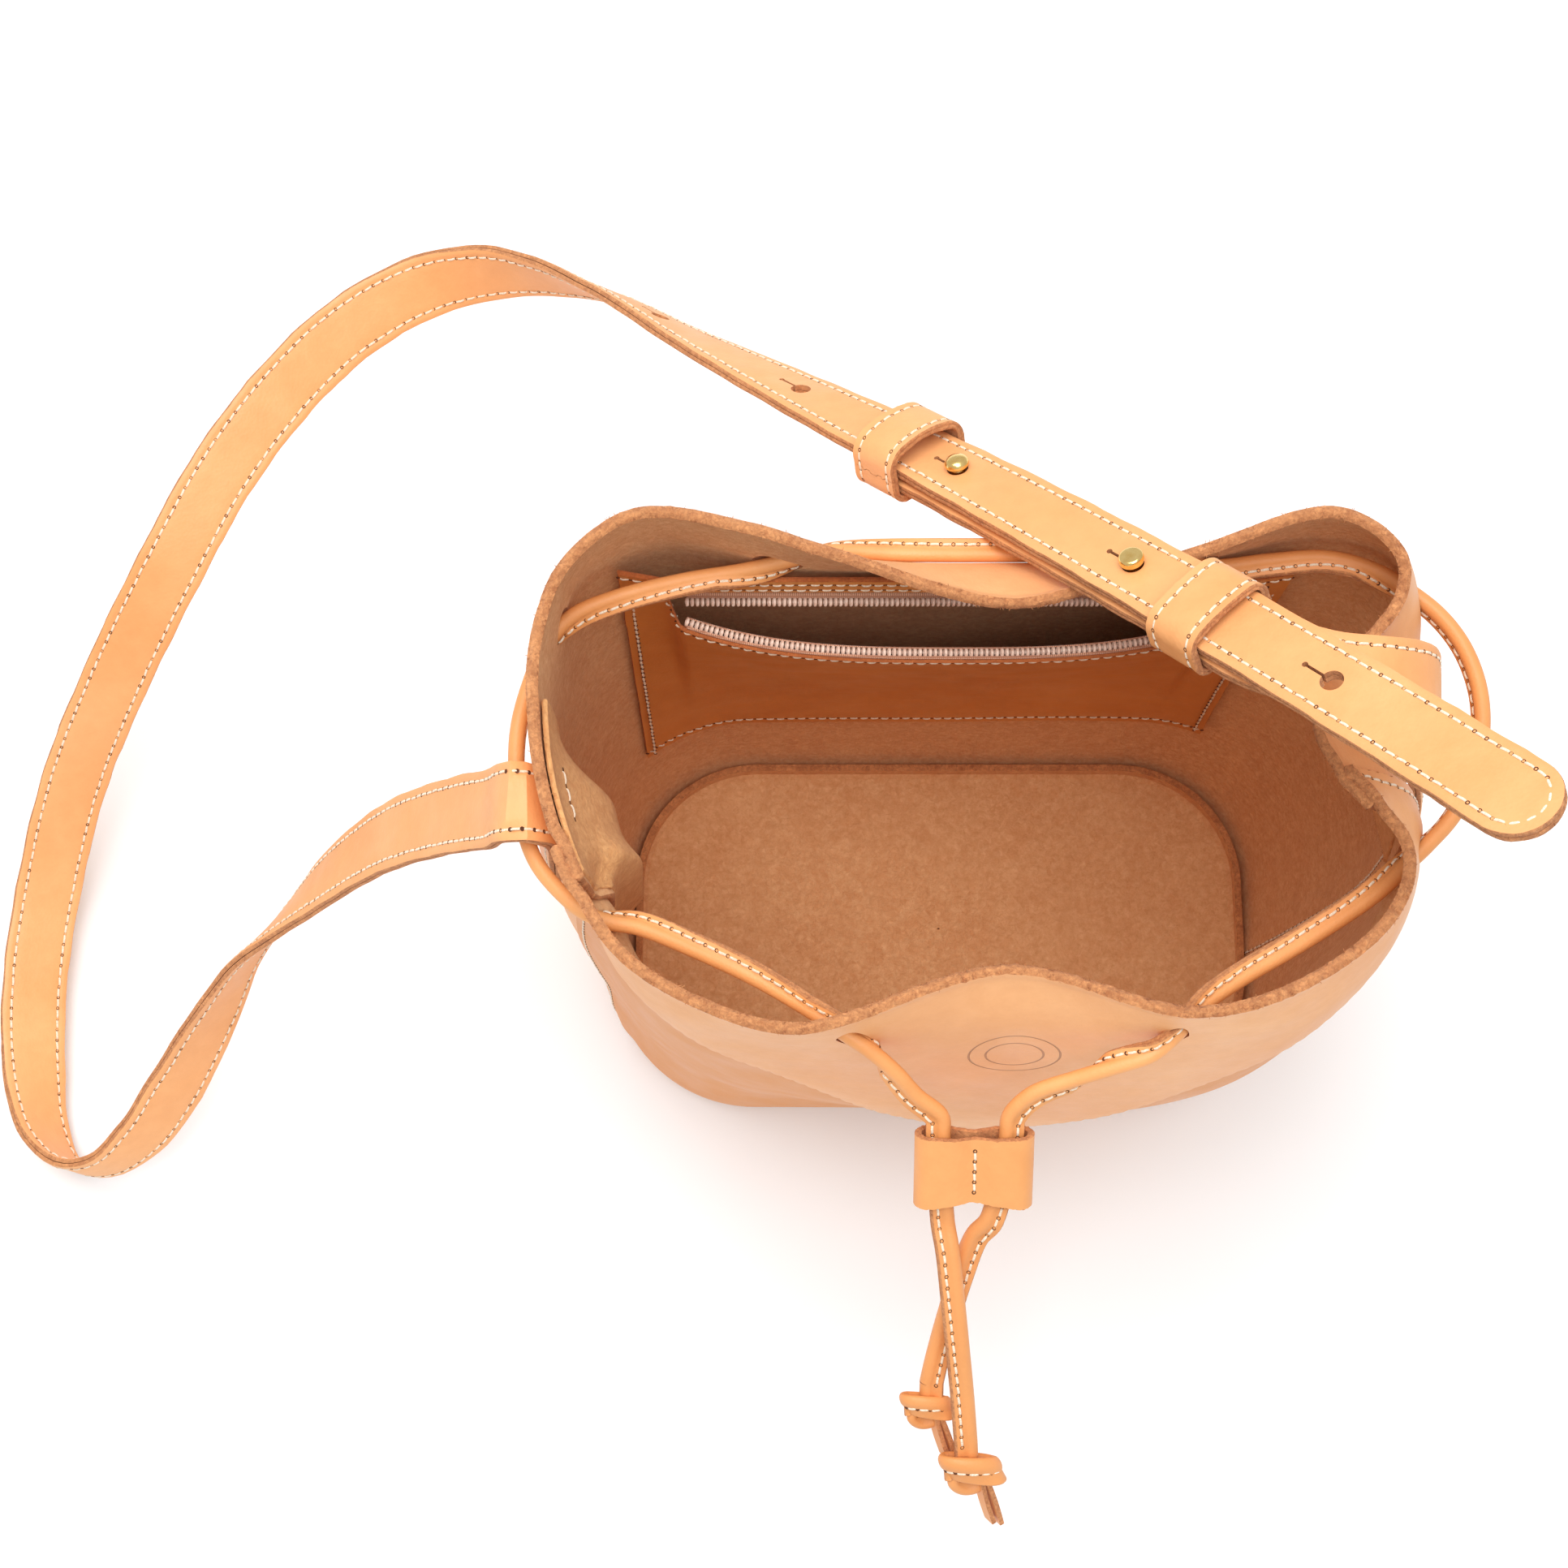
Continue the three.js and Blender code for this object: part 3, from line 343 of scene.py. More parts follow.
LONG = Ribbon([sewn_row(LEFT_U, z * MM, 0) for z in (168, 182, 196, 207)] + [
    (-0.1135, -0.012, 0.213, -0.15, 1, 0), (-0.117, -0.012, 0.2156, -0.1, 1, 0),
    (-0.121, -0.0114, 0.2115, 0, 1, 0), (-0.1255, -0.01, 0.2, 0, 1, 0), (-0.137, -0.0065, 0.18, 0, 1, 0),
    (-0.16, -0.0035, 0.144, 0.05, 1, -0.05), (-0.184, -0.007, 0.106, 0.1, 0.9, -0.3),
    (-0.203, -0.015, 0.079, 0.1, 0.5, -0.7), (-0.216, -0.024, 0.064, 0.05, 0.15, -1),
    (-0.228, -0.039, 0.048, 0.3, -0.1, -0.95), (-0.241, -0.057, 0.034, 0.4, -0.3, -0.87),
    (-0.253, -0.071, 0.024, 0.35, -0.25, -0.9), (-0.266, -0.0795, 0.018, 0.2, -0.1, -1),
    (-0.278, -0.079, 0.0155, 0.2, 0, -1), (-0.2875, -0.067, 0.0135, 0.5, 0.1, -0.85),
    (-0.2925, -0.044, 0.013, 0.8, 0.05, -0.6), (-0.2935, -0.017, 0.014, 0.87, 0, -0.5),
    (-0.29, 0.009, 0.019, 0.87, -0.1, -0.5), (-0.279, 0.039, 0.038, 0.85, -0.25, -0.5),
    (-0.262, 0.064, 0.063, 0.8, -0.35, -0.5), (-0.241, 0.094, 0.086, 0.75, -0.45, -0.5),
    (-0.223, 0.124, 0.096, 0.7, -0.5, -0.5), (-0.205, 0.149, 0.0995, 0.65, -0.55, -0.5),
    (-0.186, 0.17, 0.099, 0.6, -0.6, -0.55), (-0.164, 0.184, 0.099, 0.35, -0.6, -0.7),
    (-0.144, 0.1875, 0.102, 0.1, -0.4, -0.9), (-0.127, 0.184, 0.1075, 0, 0, -1),
] + [rise_row(share) for share in np.linspace(0, 1, RISE_STEPS + 1)])
HOLES = [LONG.length - HOLE_FROM_TIP - k * HOLE_PITCH for k in range(5)]
STUD_AT = (HOLES[2], HOLES[1])
KEEPER_AT = (STUD_AT[0] - 20 * MM, STUD_AT[1] + 25 * MM)
JOIN_AT = KEEPER_AT[1] + 14 * MM


def under_row(distance):
    point, _, across, normal = LONG.frame(distance)
    return (*(point + normal * UNDER), *across)


SHORT = Ribbon([sewn_row(RIGHT_U, z * MM, 1 * MM) for z in (164, 178, 192, 204)] + [
    (0.1075, 0.0105, 0.214, 0, 1, 0), (0.108, 0.0105, 0.226, 0.05, 1, 0), (0.104, 0.01, 0.24, 0.1, 1, -0.05),
    (0.0925, 0.0085, 0.251, 0.25, 0.95, -0.1), (0.079, 0.0085, 0.256, 0.35, 0.9, -0.2),
] + [under_row(d) for d in np.linspace(JOIN_AT, KEEPER_AT[0] - 11 * MM, 15)])


# ---------------------------------------------------------------- materials
def srgb(r, g, b):
    """A colour from its 0..255 sRGB values."""
    def linear(x):
        x /= 255
        return x / 12.92 if x <= 0.04045 else ((x + 0.055) / 1.055) ** 2.4
    return (linear(r), linear(g), linear(b), 1)


class Finish:
    """A material's node tree, with short calls for the nodes that the finishes share."""

    def __init__(self, name, roughness, metallic=0.0, sheen=0.0, coat=0.0):
        self.material = bpy.data.materials.new(name)
        self.material.use_nodes = True
        self.tree = self.material.node_tree
        self.shader = self.tree.nodes["Principled BSDF"]
        self.shader.inputs["Roughness"].default_value = roughness
        self.shader.inputs["Metallic"].default_value = metallic
        self.shader.inputs["Sheen Weight"].default_value = sheen
        self.shader.inputs["Coat Weight"].default_value = coat
        self.place = self.node("ShaderNodeTexCoord").outputs["Object"]
        self.height = None

    def node(self, kind, **values):
        node = self.tree.nodes.new(kind)
        for key, value in values.items():
            setattr(node, key, value)
        return node

    def link(self, a, b):
        self.tree.links.new(a, b)

    def stretched(self, scale):
        mapping = self.node("ShaderNodeMapping")
        mapping.inputs["Scale"].default_value = scale
        self.link(self.place, mapping.inputs["Vector"])
        return mapping.outputs["Vector"]

    def noise(self, scale, detail=3.0, rough=0.5, warp=0.0, place=None):
        node = self.node("ShaderNodeTexNoise")
        node.inputs["Scale"].default_value = scale
        node.inputs["Detail"].default_value = detail
        node.inputs["Roughness"].default_value = rough
        node.inputs["Distortion"].default_value = warp
        self.link(self.place if place is None else place, node.inputs["Vector"])
        return node.outputs["Fac"]

    def cells(self, scale, feature="F1", place=None):
        node = self.node("ShaderNodeTexVoronoi", feature=feature)
        node.inputs["Scale"].default_value = scale
        self.link(self.place if place is None else place, node.inputs["Vector"])
        return node.outputs["Distance"]

    def span(self, value, low, high, to_low=0.0, to_high=1.0):
        node = self.node("ShaderNodeMapRange", clamp=True)
        for key, number in (("From Min", low), ("From Max", high), ("To Min", to_low), ("To Max", to_high)):
            node.inputs[key].default_value = number
        self.link(value, node.inputs["Value"])
        return node.outputs["Result"]

    def maths(self, operation, a, b=None):
        node = self.node("ShaderNodeMath", operation=operation)
        for socket, value in zip(node.inputs, (a, b)):
            if isinstance(value, (int, float)):
                socket.default_value = value
            elif value is not None:
                self.link(value, socket)
        return node.outputs[0]

    def mix(self, share, a, b, blend="MIX"):
        node = self.node("ShaderNodeMix", data_type="RGBA", blend_type=blend)
        for socket, value in ((node.inputs[0], share), (node.inputs[6], a), (node.inputs[7], b)):
            if isinstance(value, (tuple, float)):
                socket.default_value = value
            else:
                self.link(value, socket)
        return node.outputs[2]

    def colour(self, value):
        if isinstance(value, tuple):
            self.shader.inputs["Base Color"].default_value = value
        else:
            self.link(value, self.shader.inputs["Base Color"])

    def rough(self, value):
        self.link(value, self.shader.inputs["Roughness"])

    def bump(self, value, depth, strength=1.0):
        node = self.node("ShaderNodeBump")
        node.inputs["Distance"].default_value = depth
        node.inputs["Strength"].default_value = strength
        self.link(value, node.inputs["Height"])
        if self.height is not None:
            self.link(self.height, node.inputs["Normal"])
        self.height = node.outputs["Normal"]
        self.link(self.height, self.shader.inputs["Normal"])


def grain_leather(name, light, dark, pore=900, wrinkle=0.35, stamp=None, low=None):
    """Smooth vegetable-tanned leather: cloudy colour, fine pores and faint stretched wrinkles."""
    f = Finish(name, 0.5)
    cloud = f.span(f.noise(16, 5, 0.6, 0.4), 0.3, 0.72)
    mottle = f.span(f.noise(210, 4, 0.6), 0.3, 0.7)
    tone = f.mix(cloud, dark, light)
    # Painted shade: with a low colour given, the wall below the belly, and lower still towards its sides, is
    # blended towards that darker, more orange tone.
    if low:
        split = f.node("ShaderNodeSeparateXYZ")
        f.link(f.place, split.inputs[0])
        reach = f.maths("ABSOLUTE", f.maths("SUBTRACT", split.outputs[0], 4 * MM))
        rise = f.maths("SUBTRACT", split.outputs[2], f.maths("MULTIPLY", reach, 0.95))
        tone = f.mix(f.span(rise, 0.09, 0.114, 0.85, 0.0), tone, low)
    speck = f.span(f.noise(1500, 2, 0.5), 0.62, 0.8, 0.0, 0.35)
    tone = f.mix(f.maths("MULTIPLY", mottle, 0.16), tone, srgb(205, 132, 76))
    tone = f.mix(f.maths("MULTIPLY", speck, 0.3), tone, srgb(190, 118, 66))
    if stamp:
        tone = ring_stamp(f, tone, *stamp)
    f.colour(tone)
    f.rough(f.span(f.noise(60, 4), 0.3, 0.7, 0.42, 0.6))
    f.bump(f.noise(45, 4, 0.55, 0.6, f.stretched((1, 1, 2.2))), 0.5 * MM, wrinkle)
    f.bump(f.cells(pore), 0.09 * MM, 0.5)
    f.bump(f.noise(pore * 2.3, 3, 0.6), 0.05 * MM, 0.5)
    return f.material


def ring_stamp(f, tone, centre, radii, half):
    """Plain pressed rings: the places at set distances from a point are darker and lower."""
    gap = f.node("ShaderNodeVectorMath", operation="DISTANCE")
    gap.inputs[1].default_value = centre
    f.link(f.place, gap.inputs[0])
    lines = None
    for radius in radii:
        off = f.maths("ABSOLUTE", f.maths("SUBTRACT", gap.outputs["Value"], radius))
        line = f.span(off, half * 0.4, half, 1.0, 0.0)
        lines = line if lines is None else f.maths("MAXIMUM", lines, line)
    f.bump(f.maths("SUBTRACT", 1.0, lines), 0.35 * MM, 1.0)
    return f.mix(f.maths("MULTIPLY", lines, 0.6), tone, srgb(165, 98, 52))


def fuzzy_leather(name, light, dark, fibre, depth, sheen=0.08):
    """Suede and raw cut leather: matted fibres, blotched, with a soft sheen."""
    f = Finish(name, 0.95, sheen=sheen)
    f.shader.inputs["Sheen Roughness"].default_value = 0.6
    nap = f.span(f.noise(fibre, 5, 0.75, 0.6), 0.32, 0.68)
    blotch = f.span(f.noise(38, 5, 0.6, 0.5), 0.28, 0.72)
    tone = f.mix(nap, dark, light)
    tone = f.mix(f.maths("MULTIPLY", blotch, 0.4), tone, light)
    patchy = f.span(f.noise(210, 5, 0.7, 0.8), 0.42, 0.66)
    tone = f.mix(f.maths("MULTIPLY", patchy, 0.45), tone, dark)
    f.colour(tone)
    f.bump(f.noise(fibre * 0.35, 6, 0.75, 0.5), depth * 1.4, 0.7)
    f.bump(f.noise(fibre, 6, 0.8, 0.8), depth, 0.9)
    return f.material


def thread_finish():
    f = Finish("thread_white", 0.72, sheen=0.3)
    strand = f.span(f.noise(2600, 3, 0.6), 0.3, 0.7)
    f.colour(f.mix(strand, srgb(214, 192, 160), srgb(250, 240, 222)))
    f.bump(f.noise(4200, 2, 0.5), 0.06 * MM, 0.8)
    return f.material


def hole_shade_finish():
    # Painted shade: the dark brown stands in for the shade inside each needle hole.
    f = Finish("needle_hole_painted_shade", 0.9)
    f.colour(f.mix(f.span(f.noise(1800, 3), 0.3, 0.7), srgb(70, 38, 22), srgb(112, 64, 36)))
    return f.material


def brass_finish():
    f = Finish("brass", 0.2, metallic=1.0)
    f.colour(f.mix(f.span(f.noise(300, 4), 0.3, 0.7), srgb(232, 190, 110), srgb(252, 222, 150)))
    f.rough(f.span(f.noise(900, 4, 0.6), 0.3, 0.7, 0.12, 0.26))
    f.bump(f.noise(5000, 2, 0.5, 0, f.stretched((1, 1, 0.1))), 0.01 * MM, 0.4)
    return f.material


def tape_finish(name, light, dark):
    """Woven zip tape: ribs across it and finer threads along it."""
    f = Finish(name, 0.85, sheen=0.4)
    ribs = f.node("ShaderNodeTexWave", bands_direction="X", wave_profile="SIN")
    ribs.inputs["Scale"].default_value = 560
    ribs.inputs["Distortion"].default_value = 0.6
    f.link(f.place, ribs.inputs["Vector"])
    fine = f.node("ShaderNodeTexWave", bands_direction="Z", wave_profile="SIN")
    fine.inputs["Scale"].default_value = 700
    fine.inputs["Distortion"].default_value = 0.8
    f.link(f.place, fine.inputs["Vector"])
    weave = f.maths("MULTIPLY", ribs.outputs["Fac"], fine.outputs["Fac"])
    f.colour(f.mix(f.span(weave, 0.05, 0.6), dark, light))
    f.bump(weave, 0.18 * MM, 0.9)
    return f.material


def coil_finish():
    f = Finish("zip_coil_plastic", 0.32)
    f.colour(f.mix(f.span(f.noise(700, 3), 0.3, 0.7), srgb(222, 182, 160), srgb(250, 224, 206)))
    f.bump(f.noise(2600, 2), 0.02 * MM, 0.5)
    f.shader.inputs["Subsurface Weight"].default_value = 0.0
    return f.material


# The third colour is painted shade, laid on the front wall below its belly.
LIGHT, DARK, LOW_PAINTED_SHADE = srgb(244, 184, 128), srgb(232, 164, 108), srgb(218, 142, 74)
RING_U, RING_Z = 0.003, 194 * MM
ring_point = wall([RING_U], v_at([RING_U], RING_Z))[0][0]
GRAIN_FRONT = grain_leather("grain_front", LIGHT, DARK, low=LOW_PAINTED_SHADE,
                            stamp=(tuple(ring_point), (11.4 * MM, 7.2 * MM), 0.28 * MM))
GRAIN = grain_leather("grain_wall", LIGHT, DARK)
GRAIN_STRAP = grain_leather("grain_strap", srgb(247, 182, 122), srgb(233, 160, 97), pore=1100, wrinkle=0.5)
GRAIN_CORD = grain_leather("grain_cord", srgb(240, 172, 108), srgb(224, 148, 84), pore=1500, wrinkle=0.4)
SUEDE = fuzzy_leather("suede_inside", srgb(255, 206, 150), srgb(222, 154, 98), 620, 0.5 * MM)
PATCH = fuzzy_leather("suede_patch", srgb(255, 198, 132), srgb(222, 150, 88), 560, 0.6 * MM)
RAW = fuzzy_leather("raw_edge", srgb(244, 172, 112), srgb(164, 94, 52), 900, 0.55 * MM)
POCKET = grain_leather("pocket_grain", srgb(230, 156, 82), srgb(208, 130, 58), pore=1000, wrinkle=0.4)
POCKET_RAW = fuzzy_leather("pocket_edge", srgb(206, 116, 58), srgb(150, 76, 34), 1500, 0.25 * MM)
THREAD = thread_finish()
NEEDLE_HOLE_SHADE = hole_shade_finish()
BRASS = brass_finish()
TAPE = tape_finish("zip_tape", srgb(236, 180, 146), srgb(176, 120, 92))
COIL = coil_finish()


# ---------------------------------------------------------------- mesh helpers
def piece(name, verts, faces, finishes, kinds=None, body="bag", cad=(), sharp=40):
    """A mesh object that rides on a body and may stand for CAD nodes."""
    mesh = bpy.data.meshes.new(name)
    verts = np.array(verts, float)
    verts[:, 2] = np.maximum(verts[:, 2], 0)
    mesh.from_pydata([tuple(v) for v in verts], [], [tuple(int(i) for i in f) for f in faces])
    for finish in finishes:
        mesh.materials.append(finish)
    if kinds is not None:
        mesh.polygons.foreach_set("material_index", np.asarray(kinds, np.int32))
    mesh.polygons.foreach_set("use_smooth", np.ones(len(mesh.polygons), bool))
    mesh.update()
    mesh.set_sharp_from_angle(angle=math.radians(sharp))
    obj = bpy.data.objects.new(name, mesh)
    bpy.context.collection.objects.link(obj)
    declare(obj, body, cad)
    return obj


def declare(obj, body, cad=()):
    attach(obj, body)
    if cad:
        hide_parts(*cad)
    return obj


def grid_faces(n, m, ring=False, keep=None):
    """Quads of an n by m grid of points, closed in its first direction if it is a ring."""
    index = np.arange(n * m).reshape(n, m)
    if ring:
        index = np.vstack([index, index[:1]])
    quads = np.stack([index[:-1, :-1], index[1:, :-1], index[1:, 1:], index[:-1, 1:]], -1)
    return (quads if keep is None else quads[keep]).reshape(-1, 4)


def shell(outer, inner, ring=False, keep=None, bulge=0.28, rings=3, ragged=0.0):
    """A sheet between two grids of points: its vertices, faces, and kinds 0 outside, 1 inside, 2 cut edge."""
    n, m = outer.shape[:2]
    a, b = outer.reshape(-1, 3).copy(), inner.reshape(-1, 3).copy()
    top = grid_faces(n, m, ring, keep)
    count = len(a)
    edges = np.stack([top, np.roll(top, -1, 1)], -1).reshape(-1, 2)
    lone = ~np.isin(edges[:, 0] * count + edges[:, 1], edges[:, 1] * count + edges[:, 0])
    lone_faces = np.repeat(np.arange(len(top)), 4)[lone]
    rim = edges[lone]
    away = np.zeros((count, 3))
    middles = a[top].mean(1)[lone_faces]
    for side in (0, 1):
        np.add.at(away, rim[:, side], a[rim[:, side]] - middles)
    through = unit(b - a)
    away = unit(away - through * np.sum(away * through, 1, keepdims=True))
    used = np.unique(rim)
    thick = np.linalg.norm(b - a, axis=1)[:, None]
    wander = RNG.normal(0, 1, count)[:, None] * ragged
    a[used] += (away * wander)[used]
    b[used] += (away * RNG.normal(0, 1, count)[:, None] * ragged)[used]
    layers = [np.arange(count)]
    verts = [a, b]
    lookup = np.full(count, -1)
    lookup[used] = np.arange(len(used))
    base = 2 * count
    for k in range(1, rings + 1):
        f = k / (rings + 1)
        row = a * (1 - f) + b * f + away * (thick * bulge * math.sin(math.pi * f) + wander * (k % 2) * 0.6)
        verts.append(row[used])
        layers.append(lookup + base)
        base += len(used)
    layers.append(np.arange(count) + count)
    faces = [top, top[:, ::-1] + count]
    kinds = [np.zeros(len(top)), np.ones(len(top))]
    for near, far in zip(layers[:-1], layers[1:]):
        side = np.stack([near[rim[:, 1]], near[rim[:, 0]], far[rim[:, 0]], far[rim[:, 1]]], -1)
        faces.append(side)
        kinds.append(np.full(len(side), 2))
    return drop_loose(np.vstack(verts), np.vstack(faces), np.concatenate(kinds).astype(int))


def drop_loose(verts, faces, kinds):
    used, back = np.unique(faces, return_inverse=True)
    return verts[used], back.reshape(faces.shape), kinds


def sweep(points, out, profile, kinds, ends=True):
    """A section drawn along a path. out is the way that the section's first axis points."""
    along = unit(np.gradient(points, axis=0))
    first = unit(out - along * np.sum(out * along, 1, keepdims=True))
    second = np.cross(along, first)
    section = np.asarray(profile, float)
    verts = points[:, None] + first[:, None] * section[None, :, :1] + second[:, None] * section[None, :, 1:]
    n, m = len(points), len(section)
    index = np.arange(n * m).reshape(n, m)
    index = np.hstack([index, index[:, :1]])
    faces = np.stack([index[:-1, :-1], index[:-1, 1:], index[1:, 1:], index[1:, :-1]], -1).reshape(-1, 4)
    faces = [tuple(f) for f in faces]
    all_kinds = list(np.tile(kinds, n - 1))
    if ends:
        faces += [tuple(range(m))[::-1], tuple((n - 1) * m + k for k in range(m))]
        all_kinds += [1, 1]
    return verts.reshape(-1, 3), faces, all_kinds


def along_line(points, pitch, start=0.0, stop=0.0):
    """Evenly spaced places on a polyline: parameter indices for np.interp, near the pitch asked for."""
    steps = np.linalg.norm(np.diff(points, axis=0), axis=1)
    travel = np.concatenate([[0], np.cumsum(steps)])
    low, high = start, travel[-1] - stop
    count = max(1, int(round((high - low) / pitch)))
    return np.interp(np.linspace(low, high, count + 1), travel, np.arange(len(points)))


def sample(values, places):
    i = np.clip(places.astype(int), 0, len(values) - 2)
    w = (places - i)[:, None]
    return values[i] * (1 - w) + values[i + 1] * w


THREAD_RADIUS = 0.29 * MM


def stitch_template(length):
    """One stitch along X, rising out of its holes: verts and quads."""
    ways = np.linspace(-1, 1, 9)
    rise = 0.42 * MM * (1 - np.abs(ways) ** 4) - 0.24 * MM
    ring = np.linspace(0, 2 * math.pi, 8, endpoint=False)
    thick = THREAD_RADIUS * (1 - 0.25 * ways ** 4)
    slope = np.gradient(rise, ways * length / 2)
    verts = np.stack([
        (ways * length / 2)[:, None] - slope[:, None] * thick[:, None] * np.sin(ring) * 0.6,
        thick[:, None] * np.cos(ring) * 1.15,
        rise[:, None] + thick[:, None] * np.sin(ring) * 0.85,
    ], -1)
    index = np.arange(9 * 8).reshape(9, 8)
    index = np.hstack([index, index[:, :1]])
    quads = np.stack([index[:-1, :-1], index[:-1, 1:], index[1:, 1:], index[1:, :-1]], -1).reshape(-1, 4)
    return verts.reshape(-1, 3), quads


def hole_template(radius=0.6 * MM):
    """A needle hole, as a low dome with a sunken middle, dark with painted shade."""
    ring = np.linspace(0, 2 * math.pi, 10, endpoint=False)
    rows = [(1.0, -0.12 * MM), (0.95, 0.03 * MM), (0.7, 0.07 * MM), (0.35, -0.05 * MM)]
    verts = [np.column_stack([np.cos(ring) * radius * r, np.sin(ring) * radius * r, np.full(10, h)])
             for r, h in rows]
    verts.append(np.array([[0, 0, -0.12 * MM]]))
    faces = [(k * 10 + i, k * 10 + (i + 1) % 10, (k + 1) * 10 + (i + 1) % 10, (k + 1) * 10 + i)
             for k in range(3) for i in range(10)]
    faces += [(30 + i, 30 + (i + 1) % 10, 40, 40) for i in range(10)]
    return np.vstack(verts), np.array(faces)


def stamped(template, centres, along, normals):
    """Copies of a template, with X along the row and Z along the normal."""
    verts, faces = template
    x = unit(along - normals * np.sum(along * normals, 1, keepdims=True))
    y = np.cross(normals, x)
    out = (centres[:, None] + verts[None, :, :1] * x[:, None] + verts[None, :, 1:2] * y[:, None]
           + verts[None, :, 2:] * normals[:, None])
    shifts = (np.arange(len(centres)) * len(verts))[:, None, None]
    return out.reshape(-1, 3), (faces[None] + shifts).reshape(-1, faces.shape[1])


def stitch_rows(name, rows, body="bag", pitch=STITCH_PITCH, gap=0.85 * MM, holes=True):
    """Rows of stitches as thread, with their needle holes. A row is (points, normals) along its line."""
    verts, faces, kinds, count = [], [], [], 0
    for points, normals in rows:
        places = along_line(points, pitch)
        ends = sample(points, places)
        ups = unit(sample(normals, places))
        jitter = RNG.normal(0, 0.05 * MM, ends.shape)
        middles, along = (ends[:-1] + ends[1:]) / 2 + jitter[:-1], ends[1:] - ends[:-1]
        length = float(np.linalg.norm(along, axis=1).mean()) - gap
        lean = along + np.cross(ups[:-1], along) * RNG.normal(0.05, 0.03, (len(along), 1))
        batches = [(stamped(stitch_template(length), middles, lean, unit(ups[:-1] + ups[1:])), 0)]
        if holes:
            ways = np.vstack([along, along[-1:]])
            batches.append((stamped(hole_template(), ends, ways, ups), 1))
        for (v, f), kind in batches:
            verts.append(v)
            faces.append(f + count)
            kinds += [kind] * len(f)
            count += len(v)
    obj = piece(name, np.vstack(verts), [f if f[2] != f[3] else f[:3] for f in np.vstack(faces)],
                [THREAD, NEEDLE_HOLE_SHADE], kinds, body)
    return obj


def cut(obj, cutters):
    """The object with the cutters' solids taken away."""
    joined = bmesh.new()
    for cutter in cutters:
        scratch = bpy.data.meshes.new("cutter")
        cutter.to_mesh(scratch)
        joined.from_mesh(scratch)
        bpy.data.meshes.remove(scratch)
        cutter.free()
    mesh = bpy.data.meshes.new("cutters")
    joined.to_mesh(mesh)
    joined.free()
    for finish in obj.data.materials:
        mesh.materials.append(finish)
    mesh.polygons.foreach_set("material_index", np.full(len(mesh.polygons), 2, np.int32))
    mesh.polygons.foreach_set("use_smooth", np.ones(len(mesh.polygons), bool))
    tool = bpy.data.objects.new("cutters", mesh)
    bpy.context.collection.objects.link(tool)
    modifier = obj.modifiers.new("cut", "BOOLEAN")
    modifier.operation = "DIFFERENCE"
    modifier.solver = "EXACT"
    modifier.object = tool
    depsgraph = bpy.context.evaluated_depsgraph_get()
    result = bpy.data.meshes.new_from_object(obj.evaluated_get(depsgraph))
    obj.modifiers.clear()
    old = obj.data
    obj.data = result
    bpy.data.meshes.remove(old)
    bpy.data.objects.remove(tool)
    bpy.data.meshes.remove(mesh)
    obj.data.set_sharp_from_angle(angle=math.radians(40))
    return obj


def loft_cutter(rings):
    """A closed solid through rings of points."""
    bm = bmesh.new()
    loops = [[bm.verts.new(tuple(p)) for p in ring] for ring in rings]
    count = len(loops[0])
    for near, far in zip(loops[:-1], loops[1:]):
        for k in range(count):
            bm.faces.new((near[k], near[(k + 1) % count], far[(k + 1) % count], far[k]))
    bm.faces.new(loops[0][::-1])
    bm.faces.new(loops[-1])
    bmesh.ops.recalc_face_normals(bm, faces=bm.faces)
    return bm


# ---------------------------------------------------------------- stage
def make_stage():
    bpy.ops.mesh.primitive_plane_add(size=12, location=(0, 0, -0.0004))
    floor = bpy.context.active_object
    floor.name = "floor"
    f = Finish("paper_floor", 0.9)
    f.colour(f.mix(f.span(f.noise(3, 2), 0.3, 0.7), (0.93, 0.95, 0.97, 1), (0.95, 0.97, 0.99, 1)))
    floor.data.materials.append(f.material)
    world = bpy.data.worlds.new("studio")
    world.use_nodes = True
    world.node_tree.nodes["Background"].inputs["Color"].default_value = (1, 0.99, 0.98, 1)
    world.node_tree.nodes["Background"].inputs["Strength"].default_value = 0.66
    bpy.context.scene.world = world
    for name, place, aim, size, power in (
        ("key", (-0.35, 0.45, 1.7), (-0.05, 0, 0.1), 1.3, 16),
        ("top", (0.1, -0.35, 1.9), (0, 0, 0.1), 1.1, 14),
    ):
        light = bpy.data.lights.new(name, "AREA")
        light.shape = "DISK"
        light.size = size
        light.energy = power
        lamp = bpy.data.objects.new(name, light)
        lamp.location = place
        lamp.rotation_euler = (Vector(aim) - Vector(place)).to_track_quat("-Z", "Y").to_euler()
        bpy.context.collection.objects.link(lamp)


def make_camera():
    camera = bpy.data.cameras.new("camera")
    camera.lens = 57.5
    camera.sensor_width = 36
    obj = bpy.data.objects.new("camera", camera)
    obj.location = (-0.051, -0.168, 0.814)
    obj.rotation_euler = (math.radians(15), 0, 0)
    bpy.context.collection.objects.link(obj)
    bpy.context.scene.camera = obj


# ---------------------------------------------------------------- drawcord
def cord_profile():
    """The folded cord's section: a round fold with a flat sewn flange. Kinds: 0 grain, 1 raw."""
    radius, flange, half = 2.0 * MM, 4.1 * MM, 1.05 * MM
    start = math.asin(half / radius)
    turns = np.linspace(start, 2 * math.pi - start, 17)
    points = [(flange, half * 0.82), (flange * 0.93, half)] + [
        (radius * math.cos(a), radius * math.sin(a)) for a in turns
    ] + [(flange * 0.93, -half), (flange, -half * 0.82), (flange * 1.03, -half * 0.4),
         (flange * 0.975, 0), (flange * 1.03, half * 0.4)]
    kinds = [0] * (len(points) - 5) + [1] * 5
    return np.array(points), kinds


